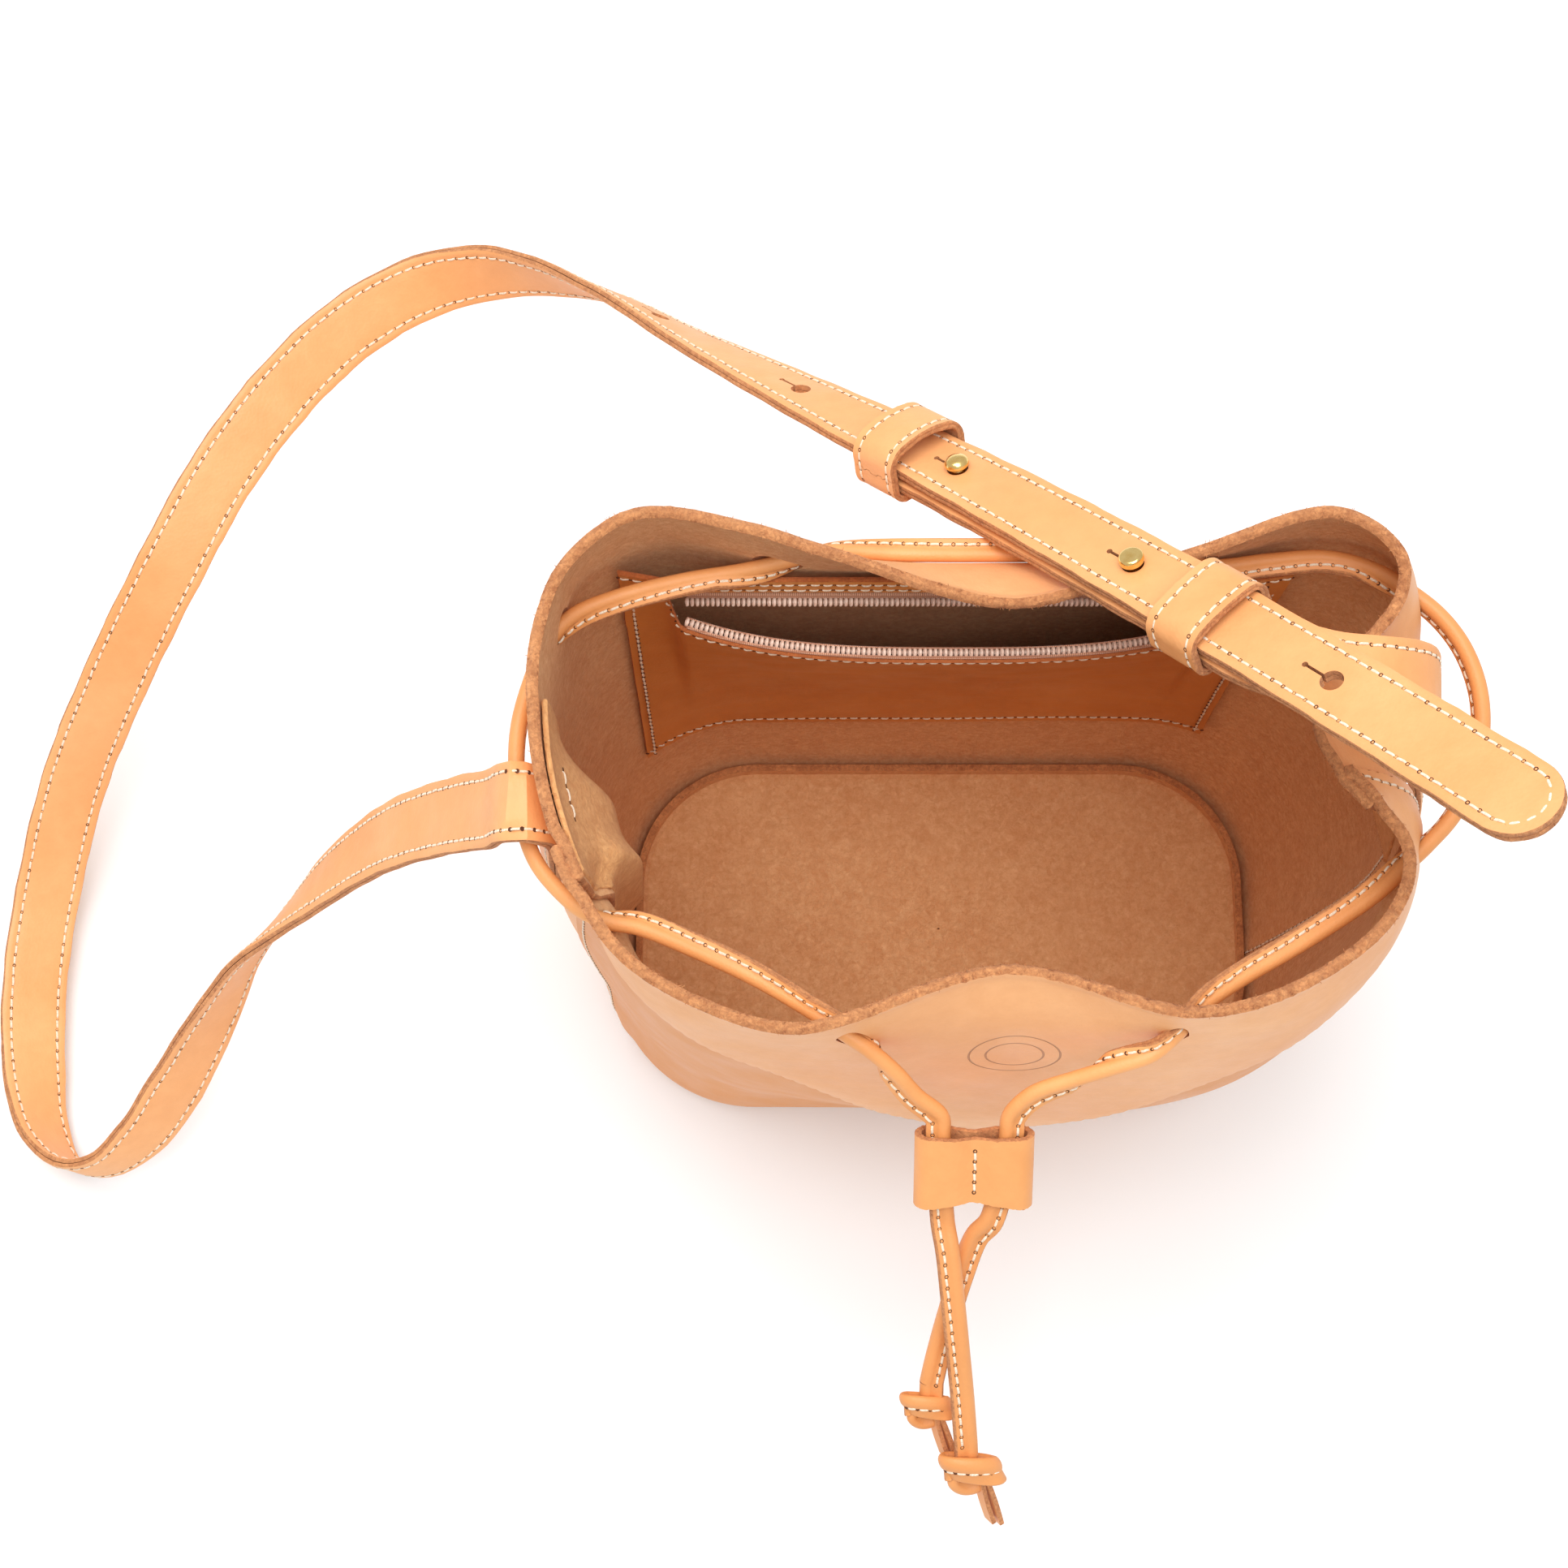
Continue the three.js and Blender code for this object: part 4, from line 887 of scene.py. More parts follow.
def cord_path(route, flange_rows=None, flange=None, step=1.1 * MM):
    line = Spline(route, divisions=3000)
    places = line.t_at(np.linspace(0, line.length, int(line.length / step) + 1))
    points = line.at(places)
    if flange_rows is None:
        return points, np.tile(unit(flange), (len(points), 1)), line
    rows = np.array(flange_rows, float)
    keys = rows[:, 0] / line.count
    ways = np.column_stack([np.interp(places, keys, unit(rows[:, 1:])[:, k]) for k in range(3)])
    return points, unit(ways), line


def cord_piece(name, points, ways, cad, body="bag"):
    profile, kinds = cord_profile()
    verts, faces, all_kinds = sweep(points, ways, profile, kinds)
    return piece(name, verts, faces, [GRAIN_CORD, RAW], all_kinds, body, cad, sharp=50)


def cord_stitches(name, points, ways, body="bag", pitch=3.2 * MM):
    """A row of stitches on each side of the cord's flange, near its fold."""
    along = unit(np.gradient(points, axis=0))
    first = unit(ways - along * np.sum(ways * along, 1, keepdims=True))
    second = np.cross(along, first)
    rows = [(points + first * 2.55 * MM + second * side * 1.02 * MM, second * side) for side in (1, -1)]
    return stitch_rows(name, rows, body, pitch, 0.9 * MM)


def overhand(name, centre, end, incoming, flange, cad, size):
    """A knot: the tail runs under a wide sewn band, with a loop below it and two plies parting at the end."""
    centre, end, incoming = np.array(centre), np.array(end), np.array(incoming)
    axis = unit(end - incoming)
    side = unit(np.cross(axis, (0, -0.3, 1)))
    side = side * np.sign(side[0])
    face = np.cross(side, axis)
    face = face * np.sign(face[2])
    profile, kinds = cord_profile()

    def at(rows):
        rows = np.array(rows, float) * MM * size
        return centre + side * rows[:, :1] + axis * rows[:, 1:2] + face * rows[:, 2:]

    parts, count = [], 0

    def add(points, ways, section, section_kinds):
        nonlocal count
        v, f, k = sweep(points, ways, section, section_kinds)
        parts.append((v, [tuple(i + count for i in x) for x in f], k))
        count += len(v)

    def smooth_line(points, n):
        path = Spline(points, divisions=400)
        return path.at(path.t_at(np.linspace(0, path.length, n)))
    inside = at([(0, 0, -0.4), (0.6, 3, -0.6)])
    stem = smooth_line(np.vstack([incoming[None], (incoming + centre)[None] / 2, inside]), 24)
    add(stem, np.tile(unit(flange), (24, 1)), profile, kinds)
    turn = np.linspace(math.radians(200), math.radians(560), 91)
    tilted = 2.7 * np.cos(turn) - 0.6 - 1.7 * np.sin(turn)
    ring = at(np.column_stack([6.3 * np.cos(turn), tilted, 3.4 * np.sin(turn)]))
    down = unit(axis + side * 0.12)
    add(ring, np.tile(down, (91, 1)), profile * (1.2, 0.74) * size, kinds)
    bulge = [(-4.6, 0.8, 0.6), (-5.6, 3.2, 0.7), (-3.9, 6.3, 0.2), (-0.6, 7.3, -0.2), (2.6, 5.2, -0.4)]
    loop = smooth_line(at(bulge), 40)
    middle = at([(-1.5, 3.4, 0)])
    add(loop, unit(middle - loop), profile * (0.8, 0.8) * size, kinds)
    for sign in (1, -1):
        reach = np.linspace(0, 1, 16)[:, None]
        root = at([(1.6 + 0.65 * sign, 3.6, 0.3)])
        tip = end + side * (0.15 + 0.95 * sign) * MM + axis * 0.5 * sign * MM
        line = root * (1 - reach) + tip * reach + side * (sign * 0.25 * MM) * np.sin(reach * math.pi)
        wide = unit(face * 0.9 + side * 0.35)
        half, thick = 2.0 * MM, 0.62 * MM
        section = [(half, -thick), (half * 1.02, 0), (half, thick), (-half, thick), (-half, -thick)]
        add(line, np.tile(wide, (16, 1)), section, [1, 1, 0, 1, 0])
    obj = piece(name, np.vstack([p[0] for p in parts]), sum((p[1] for p in parts), []), [GRAIN_CORD, RAW],
                sum((list(p[2]) for p in parts), []), "bag", cad, sharp=50)
    along = unit(np.gradient(ring, axis=0))
    out = np.cross(along, down)
    out *= np.sign(np.sum(out * (ring - centre), 1, keepdims=True))
    row = ring + down * 1.9 * MM * size + out * 1.14 * MM * size
    stitch_rows(name.replace("leather", "stitches"), [(row, out)], "bag", 3.2 * MM, 0.9 * MM)
    return obj


def make_cords():
    points, ways, line = cord_path(LOOP_ROUTE, LOOP_FLANGE)
    cord_piece("drawcord_leather", points, ways, ["drawcord"])
    cord_stitches("drawcord_stitches", points, ways)
    for side, route, node, knot, way in (
        ("left", LEFT_TAIL, "cord_tail_left", "knot_right", (-1, -0.2, 0.25)),
        ("right", RIGHT_TAIL, "cord_tail_right", "knot_left", (1, -0.1, 0.25)),
    ):
        points, ways, tail = cord_path(route, flange=way)
        obj = cord_piece(f"tail_{side}_leather", points, ways, [node])
        cord_stitches(f"tail_{side}_stitches", points, ways)
        centre, end = KNOTS[knot]
        size = 1.0 if knot == "knot_right" else 0.84
        tied = overhand(f"{knot}_leather", centre, end, route[-1], way, [knot], size)
    return line


# ---------------------------------------------------------------- wall
PANEL_COLUMNS, PANEL_ROWS = 250, 112
LAP = 4 * MM
LAP_LIFT = 1.15 * MM
LAP_RAMP = 7 * MM


def seam_us(v, shift_left=0.0, shift_right=0.0):
    left = u_where_y(SEAM_LEFT_Y + shift_left, v, 0.7, 0.98)
    right = u_where_y(SEAM_RIGHT_Y + shift_right, v, 0.02, 0.3)
    return left - 1, right


def panel_us(side, v):
    """Where a panel starts and ends at each height, past the seams by the lap."""
    if side == "front":
        return seam_us(v, LAP, LAP)
    left, right = seam_us(v, -LAP, -LAP)
    return right, left + 1


def rim_ragged(u):
    """Small wanderings of the hand-cut rim."""
    turn = 2 * math.pi * u
    return (0.3 * np.sin(11 * turn + 1) + 0.12 * np.sin(29 * turn + 2) + 0.06 * np.sin(83 * turn)) * MM


def fold_depth(points):
    """The front's lower corners lie back from soft folds that run from the mouth's corners to the base."""
    x, y, z = points[..., 0] - 4 * MM, points[..., 1], points[..., 2]
    reach = np.abs(x)
    places, heights = (0, 30, 60, 85, 105, 125), (110, 138, 172, 196, 210, 214)
    line = np.interp(reach, np.array(places) * MM, np.array(heights) * MM)
    deep = 5 * MM * smooth(reach / (26 * MM)) * smooth((-y - 16 * MM) / (20 * MM))
    deep *= smooth((207 * MM - z) / (9 * MM))
    return deep * smooth((line - z) / (11 * MM)) * smooth((z - 12 * MM) / (50 * MM))


def panel_grids(side):
    v = np.linspace(0, 1, PANEL_ROWS + 1) ** 0.97
    ends = np.array([panel_us(side, x) for x in v])
    share = np.linspace(0, 1, PANEL_COLUMNS + 1)
    u = ends[None, :, 0] + (ends[:, 1] - ends[:, 0])[None] * share[:, None]
    rows = np.broadcast_to(v, u.shape)
    base, normal = wall(u, rows)
    steps = np.linalg.norm(np.diff(base, axis=0), axis=2)
    travel = np.concatenate([np.zeros((1, len(v))), np.cumsum(steps, 0)])
    edge = np.minimum(travel, travel[-1:] - travel)
    sign = 1 if side == "front" else -1
    lift = sign * LAP_LIFT * smooth((2 * LAP + LAP_RAMP - edge) / LAP_RAMP)
    lift = lift * smooth(v * 30)[None]
    fold = fold_depth(base)
    flare = 0.45 * MM * smooth((rows - 0.975) / 0.02)
    outer = base + normal * (lift - fold + flare)[..., None]
    inner = base + normal * (lift - fold - flare - WALL)[..., None]
    top = smooth((rows - 0.93) / 0.07) * rim_ragged(u)
    for grid in (outer, inner):
        grid[..., 2] += top
    return outer, inner, normal, travel


def slit_rings(line):
    """A lens-shaped way through the wall along the drawcord, at each place where it crosses the wall."""
    t = np.linspace(0, 1, 900)
    inside = np.array([wall_distance(p) for p in line.at(t)]) < -WALL / 2
    crossings = t[1:][inside[1:] != inside[:-1]]
    lenses = []
    for middle in crossings:
        places = line.t_at(np.interp(middle, line.t, line.lengths) + np.linspace(-9, 9, 13) * MM)
        rings = []
        for point, way in zip(line.at(places), line.tangent(places)):
            level = unit(np.cross(way, (0, 0, 1)))
            up = np.cross(level, way)
            turn = np.linspace(0, 2 * math.pi, 24, endpoint=False)
            wide = 2.55 * MM * np.cos(turn)
            tall = 6.0 * MM * np.sign(np.sin(turn)) * np.abs(np.sin(turn)) ** 1.7
            rings.append(point + wide[:, None] * level + tall[:, None] * up)
        lenses.append(rings)
    return lenses


SKIN = POINTS[:, 150:, :].reshape(-1, 3)
SKIN_NORMALS = NORMALS[:, 150:, :].reshape(-1, 3)


def wall_distance(p):
    """How far outside the wall's outer surface a point in its upper half lies."""
    k = np.argmin(np.sum((SKIN - p) ** 2, 1))
    return float(np.dot(p - SKIN[k], SKIN_NORMALS[k]))


def make_wall(line):
    slits = slit_rings(line)
    panels = {}
    for side, grain in (("front", GRAIN_FRONT), ("back", GRAIN)):
        outer, inner, normal, travel = panel_grids(side)
        verts, faces, kinds = shell(outer, inner, ragged=0.2 * MM, rings=3, bulge=0.3)
        obj = piece(f"{side}_panel_leather", verts, faces, [grain, SUEDE, RAW], kinds, "bag",
                    [f"{side}_panel"])
        cut(obj, [loft_cutter(rings) for rings in slits])
        fuzz(f"{side}_rim_fibres", outer[:, -1], inner[:, -1], 5200)
        panels[side] = (outer, inner, normal, travel)
    outer, _, normal, travel = panels["front"]
    rows = []
    for left in (True, False):
        index = 0 if left else -1
        distance = travel if left else travel[-1:] - travel
        line_points, line_normals = [], []
        for j in range(3, PANEL_ROWS - 1):
            order = slice(None) if left else slice(None, None, -1)
            near = distance[order, j]
            line_points.append([np.interp(3.0 * MM, near, outer[order, j, k]) for k in range(3)])
            line_normals.append(normal[index, j])
        rows.append((np.array(line_points), np.array(line_normals)))
    inside = [(p - n * (WALL + 2 * LAP_LIFT), -n) for p, n in rows]
    stitch_rows("side_seam_stitches", rows + inside)


def make_base():
    """The base: a plate inside the wall with its edge turned up and sewn through the wall."""
    inset = WALL + 0.4 * MM
    plate, lip = 2.4 * MM, 9 * MM
    half_x, half_y, corner = BASE[0] - inset, BASE[1] - inset, BASE[2] - WALL
    share = np.linspace(0, 1, 180, endpoint=False)

    def ring(shrink, height, scale=1.0):
        less = shrink * MM
        flat = rounded_rect(half_x - less, half_y - less, corner - less, share)
        return np.column_stack([flat * scale, np.full(len(flat), height)])
    to_middle = (0.92, 0.8, 0.6, 0.4, 0.2, 0.004)
    under = [ring(0, lip), ring(0, plate * 0.5), ring(0.9, 0)] + [ring(3, 0, k) for k in to_middle]
    above = [ring(2.2, lip), ring(2.0, plate * 1.6), ring(3.4, plate)]
    above += [ring(4, plate, k) for k in to_middle]
    outer = np.stack(under, 1)[:, ::-1]
    inner = np.stack(above, 1)[:, ::-1]
    verts, faces, kinds = shell(outer, inner, ring=True, rings=1, bulge=0.1)
    obj = piece("base_leather", verts, faces, [GRAIN, SUEDE, RAW], kinds, "bag",
                ["base_panel"])
    u = np.linspace(0, 1, 500)
    ring_v = v_at(u, 5.2 * MM)
    points, normals = wall(u, ring_v)
    stitch_rows("base_stitches", [(points, normals)])
    return obj


def make_patches():
    """Suede patches behind the straps' stitching, whose lower edges stand off the wall."""
    for side, u0, low, high, lean, before, after in (
        ("left", LEFT_U, 150, 225, 13, 0.036, 0.036), ("right", RIGHT_U, 150, 197, 3, 0.025, 0.025),
    ):
        s, t = np.linspace(-before, after, 46), np.linspace(low * MM, high * MM, 60)
        us = np.broadcast_to(u0 + s[:, None], (46, 60))
        vs = np.stack([v_at(u0 + s, z) for z in t], 1)
        ends = smooth((s + before) / 0.03) * smooth((after - s) / 0.014)
        stand = lean * MM * ends[:, None] * smooth((high * MM - 3 * MM - t) / (0.55 * (t[-1] - t[0])))
        stand = stand + fold_depth(wall(us, vs)[0])
        inner, _ = wall(us, vs, -WALL - 2.0 * MM - stand)
        outer, _ = wall(us, vs, -WALL - 0.6 * MM - stand)
        verts, faces, kinds = shell(outer, inner, ragged=0.25 * MM, rings=2, bulge=0.35)
        piece(f"{side}_patch_suede", verts, faces, [PATCH, PATCH, PATCH], kinds, "bag",
              [f"{side}_strap_patch"])
        fuzz(f"{side}_patch_fibres", outer[:, 0], inner[:, 0], 700)
        uu, zz = np.linspace(u0 - 0.011, u0 + 0.011, 30), np.full(30, (high - 11) * MM)
        off = lean * MM * smooth((high * MM - 3 * MM - zz) / (0.55 * (t[-1] - t[0])))
        points, normals = wall(uu, v_at(uu, zz), -WALL - 2.1 * MM - off)
        rows = [(points, -normals)]
        stitch_rows(f"{side}_patch_stitches", rows, pitch=4.4 * MM, gap=1.0 * MM)


def fuzz(name, near, far, count):
    """Loose fibres that stand out of a raw edge lying between two rows of points."""
    along = RNG.uniform(0, len(near) - 1.001, count)
    share = RNG.uniform(0, 1, count)[:, None]
    roots = sample(near, along) * (1 - share) + sample(far, along) * share
    way = unit(np.gradient(near, axis=0))
    tangent = unit(sample(way, along))
    through = unit(sample(near - far, along))
    away = np.cross(tangent, through)
    away *= np.sign(np.sum(away * (0, 0, 1 if near[:, 2].mean() > 0.21 else -1), 1, keepdims=True))
    lean = unit(away + RNG.normal(0, 0.55, (count, 3)))
    side = unit(np.cross(lean, RNG.normal(0, 1, (count, 3)))) * 0.09 * MM
    length = RNG.uniform(0.4, 1.3, (count, 1)) * MM
    curl = unit(lean + RNG.normal(0, 0.5, (count, 3)))
    base, middle = roots - away * 0.1 * MM, roots + lean * length * 0.55
    tip = middle + curl * length * 0.45
    corners = [base - side, base + side, middle + side * 0.8, middle - side * 0.8, tip]
    verts = np.stack(corners, 1).reshape(-1, 3)
    first = np.arange(count)[:, None] * 5
    quads = [tuple(f) for f in first + np.array([[0, 1, 2, 3]])]
    points = [tuple(f) for f in first + np.array([[3, 2, 4]])]
    return piece(name, verts, quads + points, [RAW], None, "bag")


# ---------------------------------------------------------------- straps
ACROSS = np.array([-1, -0.985, -0.93, -0.85, -0.78, -0.74, -0.7, -0.62, -0.45, -0.22, 0,
                   0.22, 0.45, 0.62, 0.7, 0.74, 0.78, 0.85, 0.93, 0.985, 1])


def strap_top(share):
    """Height of a strap's face across its width: pinched along the stitches, rounded at its edges."""
    y = np.abs(share) * HALF_WIDTH
    row = HALF_WIDTH - STITCH_INSET
    pinch = 0.2 * MM * np.exp(-((y - row) / (1.0 * MM)) ** 2)
    edge = 0.35 * MM * smooth((y - 8.9 * MM) / (1.1 * MM)) ** 2
    return HALF_STRAP - pinch - edge


def strap_layer(name, route, side, round_tip, cad, holes=(), waves=0.0):
    """One layer of a strap. side is 1 for its face and -1 for its lining."""
    step = 3.2 * MM
    flat_end = route.length - (HALF_WIDTH if round_tip else 0)
    stations = np.linspace(0, flat_end, int(flat_end / step) + 1)
    halves = np.full(len(stations), HALF_WIDTH)
    if round_tip:
        turn = np.linspace(0, math.pi / 2, 12)[1:]
        stations = np.concatenate([stations, flat_end + HALF_WIDTH * np.sin(turn)])
        halves = np.concatenate([halves, np.maximum(HALF_WIDTH * np.cos(turn), 0.4 * MM)])
    n, m = len(stations), len(ACROSS)
    d = np.broadcast_to(stations[:, None], (n, m)).reshape(-1)
    y = (halves[:, None] * ACROSS[None]).reshape(-1)
    wobble = 0.12 * MM * np.sin(d * 310) * np.abs(y / HALF_WIDTH) ** 3 * np.sign(y)
    far = side * (strap_top(y / HALF_WIDTH) + waves * np.sin(d * 420 + y * 300) * MM)
    near = np.full(len(d), side * PLY_GAP)
    outer = route.at(d, y + wobble, far).reshape(n, m, 3)
    inner = route.at(d, y + wobble, near).reshape(n, m, 3)
    if side < 0:
        outer, inner = outer[:, ::-1], inner[:, ::-1]
    verts, faces, kinds = shell(outer, inner, ragged=0.04 * MM, rings=2, bulge=0.16)
    obj = piece(name, verts, faces, [GRAIN_STRAP, RAW, RAW], kinds, "bag", cad)
    if len(holes):
        cut(obj, [buttonhole(route, d) for d in holes])
    return obj


def buttonhole(route, distance):
    """Cutter: a round hole, a slit on the side away from the tip, and a small hole at its end."""
    deep = 4 * MM
    matrix = route.matrix(distance)
    turn = np.linspace(0, 2 * math.pi, 28, endpoint=False)
    outline = []
    half = 0.38 * MM
    end = -HOLE_RADIUS - HOLE_SLIT
    for a in turn:
        outline.append((HOLE_RADIUS * math.cos(a), HOLE_RADIUS * math.sin(a)))
    keep = [p for p in outline if not (p[0] < 0 and abs(p[1]) < 2 * half)]
    split = next(i for i, p in enumerate(keep) if p[0] < 0 and p[1] < 0)
    small_radius = 0.75 * MM
    mouth = math.asin(half / small_radius)
    small = [(end + small_radius * math.cos(a), small_radius * math.sin(a))
             for a in np.linspace(mouth, 2 * math.pi - mouth, 12)]
    neck = -math.sqrt(HOLE_RADIUS ** 2 - half ** 2)
    points = keep[:split] + [(neck, half)] + small + [(neck, -half)] + keep[split:]
    rings = [[matrix @ Vector((x, y, z)) for x, y in points] for z in (-deep, deep)]
    return loft_cutter(rings)


def strap_stitch_path(route, round_tip, height, sign):
    row = HALF_WIDTH - STITCH_INSET
    end = route.length - (HALF_WIDTH if round_tip else 4 * MM)
    start = 3 * MM
    straight = np.linspace(start, end, int((end - start) / (2 * MM)))
    d, y = straight, np.full(len(straight), row)
    if round_tip:
        turn = np.linspace(0, math.pi, 30)[1:-1]
        d = np.concatenate([d, end + row * np.sin(turn), straight[::-1]])
        y = np.concatenate([y, row * np.cos(turn), np.full(len(straight), -row)])
        points = route.at(d, y, height)
        return [(points, route.frame(d)[3] * sign)]
    rows = []
    for side in (1, -1):
        rows.append((route.at(d, y * side, height), route.frame(d)[3] * sign))
    return rows


def make_straps():
    stud_cutters = [(LONG, d) for d in STUD_AT]
    strap_layer("long_strap_face_leather", LONG, 1, True, ["long_strap_face"], HOLES, 0.03)
    strap_layer("long_strap_lining_leather", LONG, -1, True, ["long_strap_lining"], HOLES, 0.03)
    strap_layer("short_strap_face_leather", SHORT, 1, False, ["short_strap_face"])
    strap_layer("short_strap_lining_leather", SHORT, -1, False, ["short_strap_lining"])
    top = HALF_STRAP - 0.2 * MM
    rows = []
    for sign in (1, -1):
        rows += strap_stitch_path(LONG, True, sign * top, sign)
    stitch_rows("long_strap_stitches", rows)
    rows = []
    for sign in (1, -1):
        rows += strap_stitch_path(SHORT, False, sign * top, sign)
    stitch_rows("short_strap_stitches", rows)
    return stud_cutters


# ---------------------------------------------------------------- keepers, studs and slider
KEEPER_LENGTH = 15.5 * MM
KEEPER_WALL = 2.0 * MM


def keeper_outline(out, top_room, arch, share):
    """The keeper's outline across the strap: x across, y out of the strap's face."""
    low = UNDER - HALF_STRAP - 0.7 * MM
    high = HALF_STRAP + top_room
    half_x, half_y = 10.8 * MM + out, (high - low) / 2 + out
    flat = rounded_rect(half_x, half_y, min(1.6 * MM + out * 1.6, half_y * 0.98), share)
    crown = np.cos(np.clip(flat[:, 0] / half_x, -1, 1) * math.pi / 2) - 0.35
    lifted = np.where(flat[:, 1] > 0, arch * crown, 0)
    return flat[:, 0], flat[:, 1] + lifted + (low + high) / 2


def make_keeper(name, distance, top_room, arch):
    point, along, across, normal = (np.asarray(x).reshape(3) for x in LONG.frame(distance))
    share = np.linspace(0, 1, 120, endpoint=False)
    ways = np.linspace(-1, 1, 17)

    def surface(out, shares=share, places=ways, flare=0.0):
        rows = []
        for w in places:
            pinch = 0.18 * MM * math.exp(-((abs(w) * KEEPER_LENGTH / 2 - 5.5 * MM) / (0.9 * MM)) ** 2)
            extra = flare * abs(w) ** 4 - (pinch if out > KEEPER_WALL * 0.9 else 0)
            x, y = keeper_outline(out + extra, top_room, arch, shares)
            rows.append(point + along * (w * KEEPER_LENGTH / 2) - across * x[:, None] + normal * y[:, None])
        return np.stack(rows, 1)

    for k, (low, high) in enumerate(((0.0, 0.48), (0.52, 1.0))):
        outer, inner = surface(KEEPER_WALL * high, flare=0.15 * MM), surface(KEEPER_WALL * low)
        outer, inner = outer[:, ::-1], inner[:, ::-1]
        verts, faces, kinds = shell(outer, inner, ring=True, ragged=0.05 * MM, rings=2, bulge=0.2)
        piece(f"{name}_layer_{k + 1}", verts, faces, [GRAIN_STRAP, RAW, RAW], kinds, name,
              [name] if k == 0 else [])
    rows = []
    closed = np.linspace(0, 1, 241)
    for w in (-5.5 * MM / (KEEPER_LENGTH / 2), 5.5 * MM / (KEEPER_LENGTH / 2)):
        points = surface(KEEPER_WALL, closed, [w])[:, 0]
        along_row = np.gradient(points, axis=0)
        out = unit(np.cross(along, along_row))
        out *= np.sign(np.sum(out * (points - points.mean(0)), 1, keepdims=True))
        rows.append((points + out * 0.05 * MM, out))
    stitch_rows(f"{name}_stitches", rows, name)


def lathe(name, profile, matrix, finish, body, cad, segments=64):
    """A turned piece about the matrix's Z axis from (radius, height) pairs."""
    fine = Spline([(r, h, 0) for r, h in profile], divisions=300)
    rows = fine.at(fine.t_at(np.linspace(0, fine.length, 60)))
    rows[:, 0] = np.maximum(rows[:, 0], 0)
    turn = np.linspace(0, 2 * math.pi, segments, endpoint=False)
    verts = []
    for r, h, _ in rows[1:-1]:
        verts += [matrix @ Vector((r * math.cos(a), r * math.sin(a), h)) for a in turn]
    index = np.arange(len(verts)).reshape(-1, segments)
    index = np.hstack([index, index[:, :1]])
    faces = [tuple(f) for f in np.stack(
        [index[:-1, :-1], index[:-1, 1:], index[1:, 1:], index[1:, :-1]], -1).reshape(-1, 4)]
    faces += [tuple(index[0, :-1])[::-1], tuple(index[-1, :-1])]
    return piece(name, verts, faces, [finish], None, body, cad, sharp=35)


def make_studs():
    h = HALF_STRAP
    shapes = (
        [(0.01, h + 0.2), (1.9, h + 0.2), (1.95, h + 0.5), (2.6, h + 0.75), (3.2, h + 1.5), (3.2, h + 2.1),
         (2.75, h + 2.95), (1.7, h + 3.5), (0.7, h + 3.65), (0.01, h + 3.66)],
        [(0.01, h + 0.2), (1.9, h + 0.2), (1.95, h + 0.5), (2.7, h + 0.75), (3.1, h + 1.4), (3.15, h + 2.2),
         (3.0, h + 2.9), (2.7, h + 3.2), (2.3, h + 3.3), (0.6, h + 3.34), (0.01, h + 3.34)],
    )
    h_mm = HALF_STRAP / MM
    for k, distance in enumerate(STUD_AT):
        matrix = LONG.matrix(distance)
        top = [(r * MM, (z - h + h_mm) * MM) for r, z in shapes[k]]
        low = (UNDER + HALF_STRAP) / MM
        foot = [(0.01, low + 0.3), (3.1, low + 0.3), (3.1, low + 0.7), (1.9, low + 0.95), (1.85, h_mm - 1),
                (1.85, h_mm + 0.3)]
        lathe(f"stud_{k + 1}_head", top, matrix, BRASS, "bag", [f"stud_{k + 1}"])
        lathe(f"stud_{k + 1}_post", [(r * MM, z * MM) for r, z in foot] + [(0.01 * MM, (h_mm + 0.35) * MM)],
              matrix, BRASS, "bag", [], 40)
        bottom = (UNDER - HALF_STRAP) / MM
        under = [(0.01, bottom - 1.3), (2.9, bottom - 1.3), (3.4, bottom - 0.9), (3.4, bottom - 0.35),
                 (0.01, bottom - 0.3)]
        lathe(f"stud_{k + 1}_screw_head", [(r * MM, z * MM) for r, z in under], matrix, BRASS, "bag",
              [f"stud_screw_{k + 1}"], 40)


def slider_outline(out, share):
    """The slider's section: two lobes with a waist between them."""
    a = share * 2 * math.pi
    half_x = 14.6 * MM - 1.5 * MM + out
    x = half_x * np.sign(np.cos(a)) * np.abs(np.cos(a)) ** 0.85
    lobe = 2.6 * MM + out
    edge = np.sqrt(np.clip(1 - np.clip((np.abs(x) - half_x + lobe) / lobe, 0, 1) ** 2, 0, 1))
    waist = 1.55 * MM * np.exp(-(x / (3.6 * MM)) ** 2)
    y = np.sign(np.sin(a)) * (lobe - waist) * edge
    return x, y


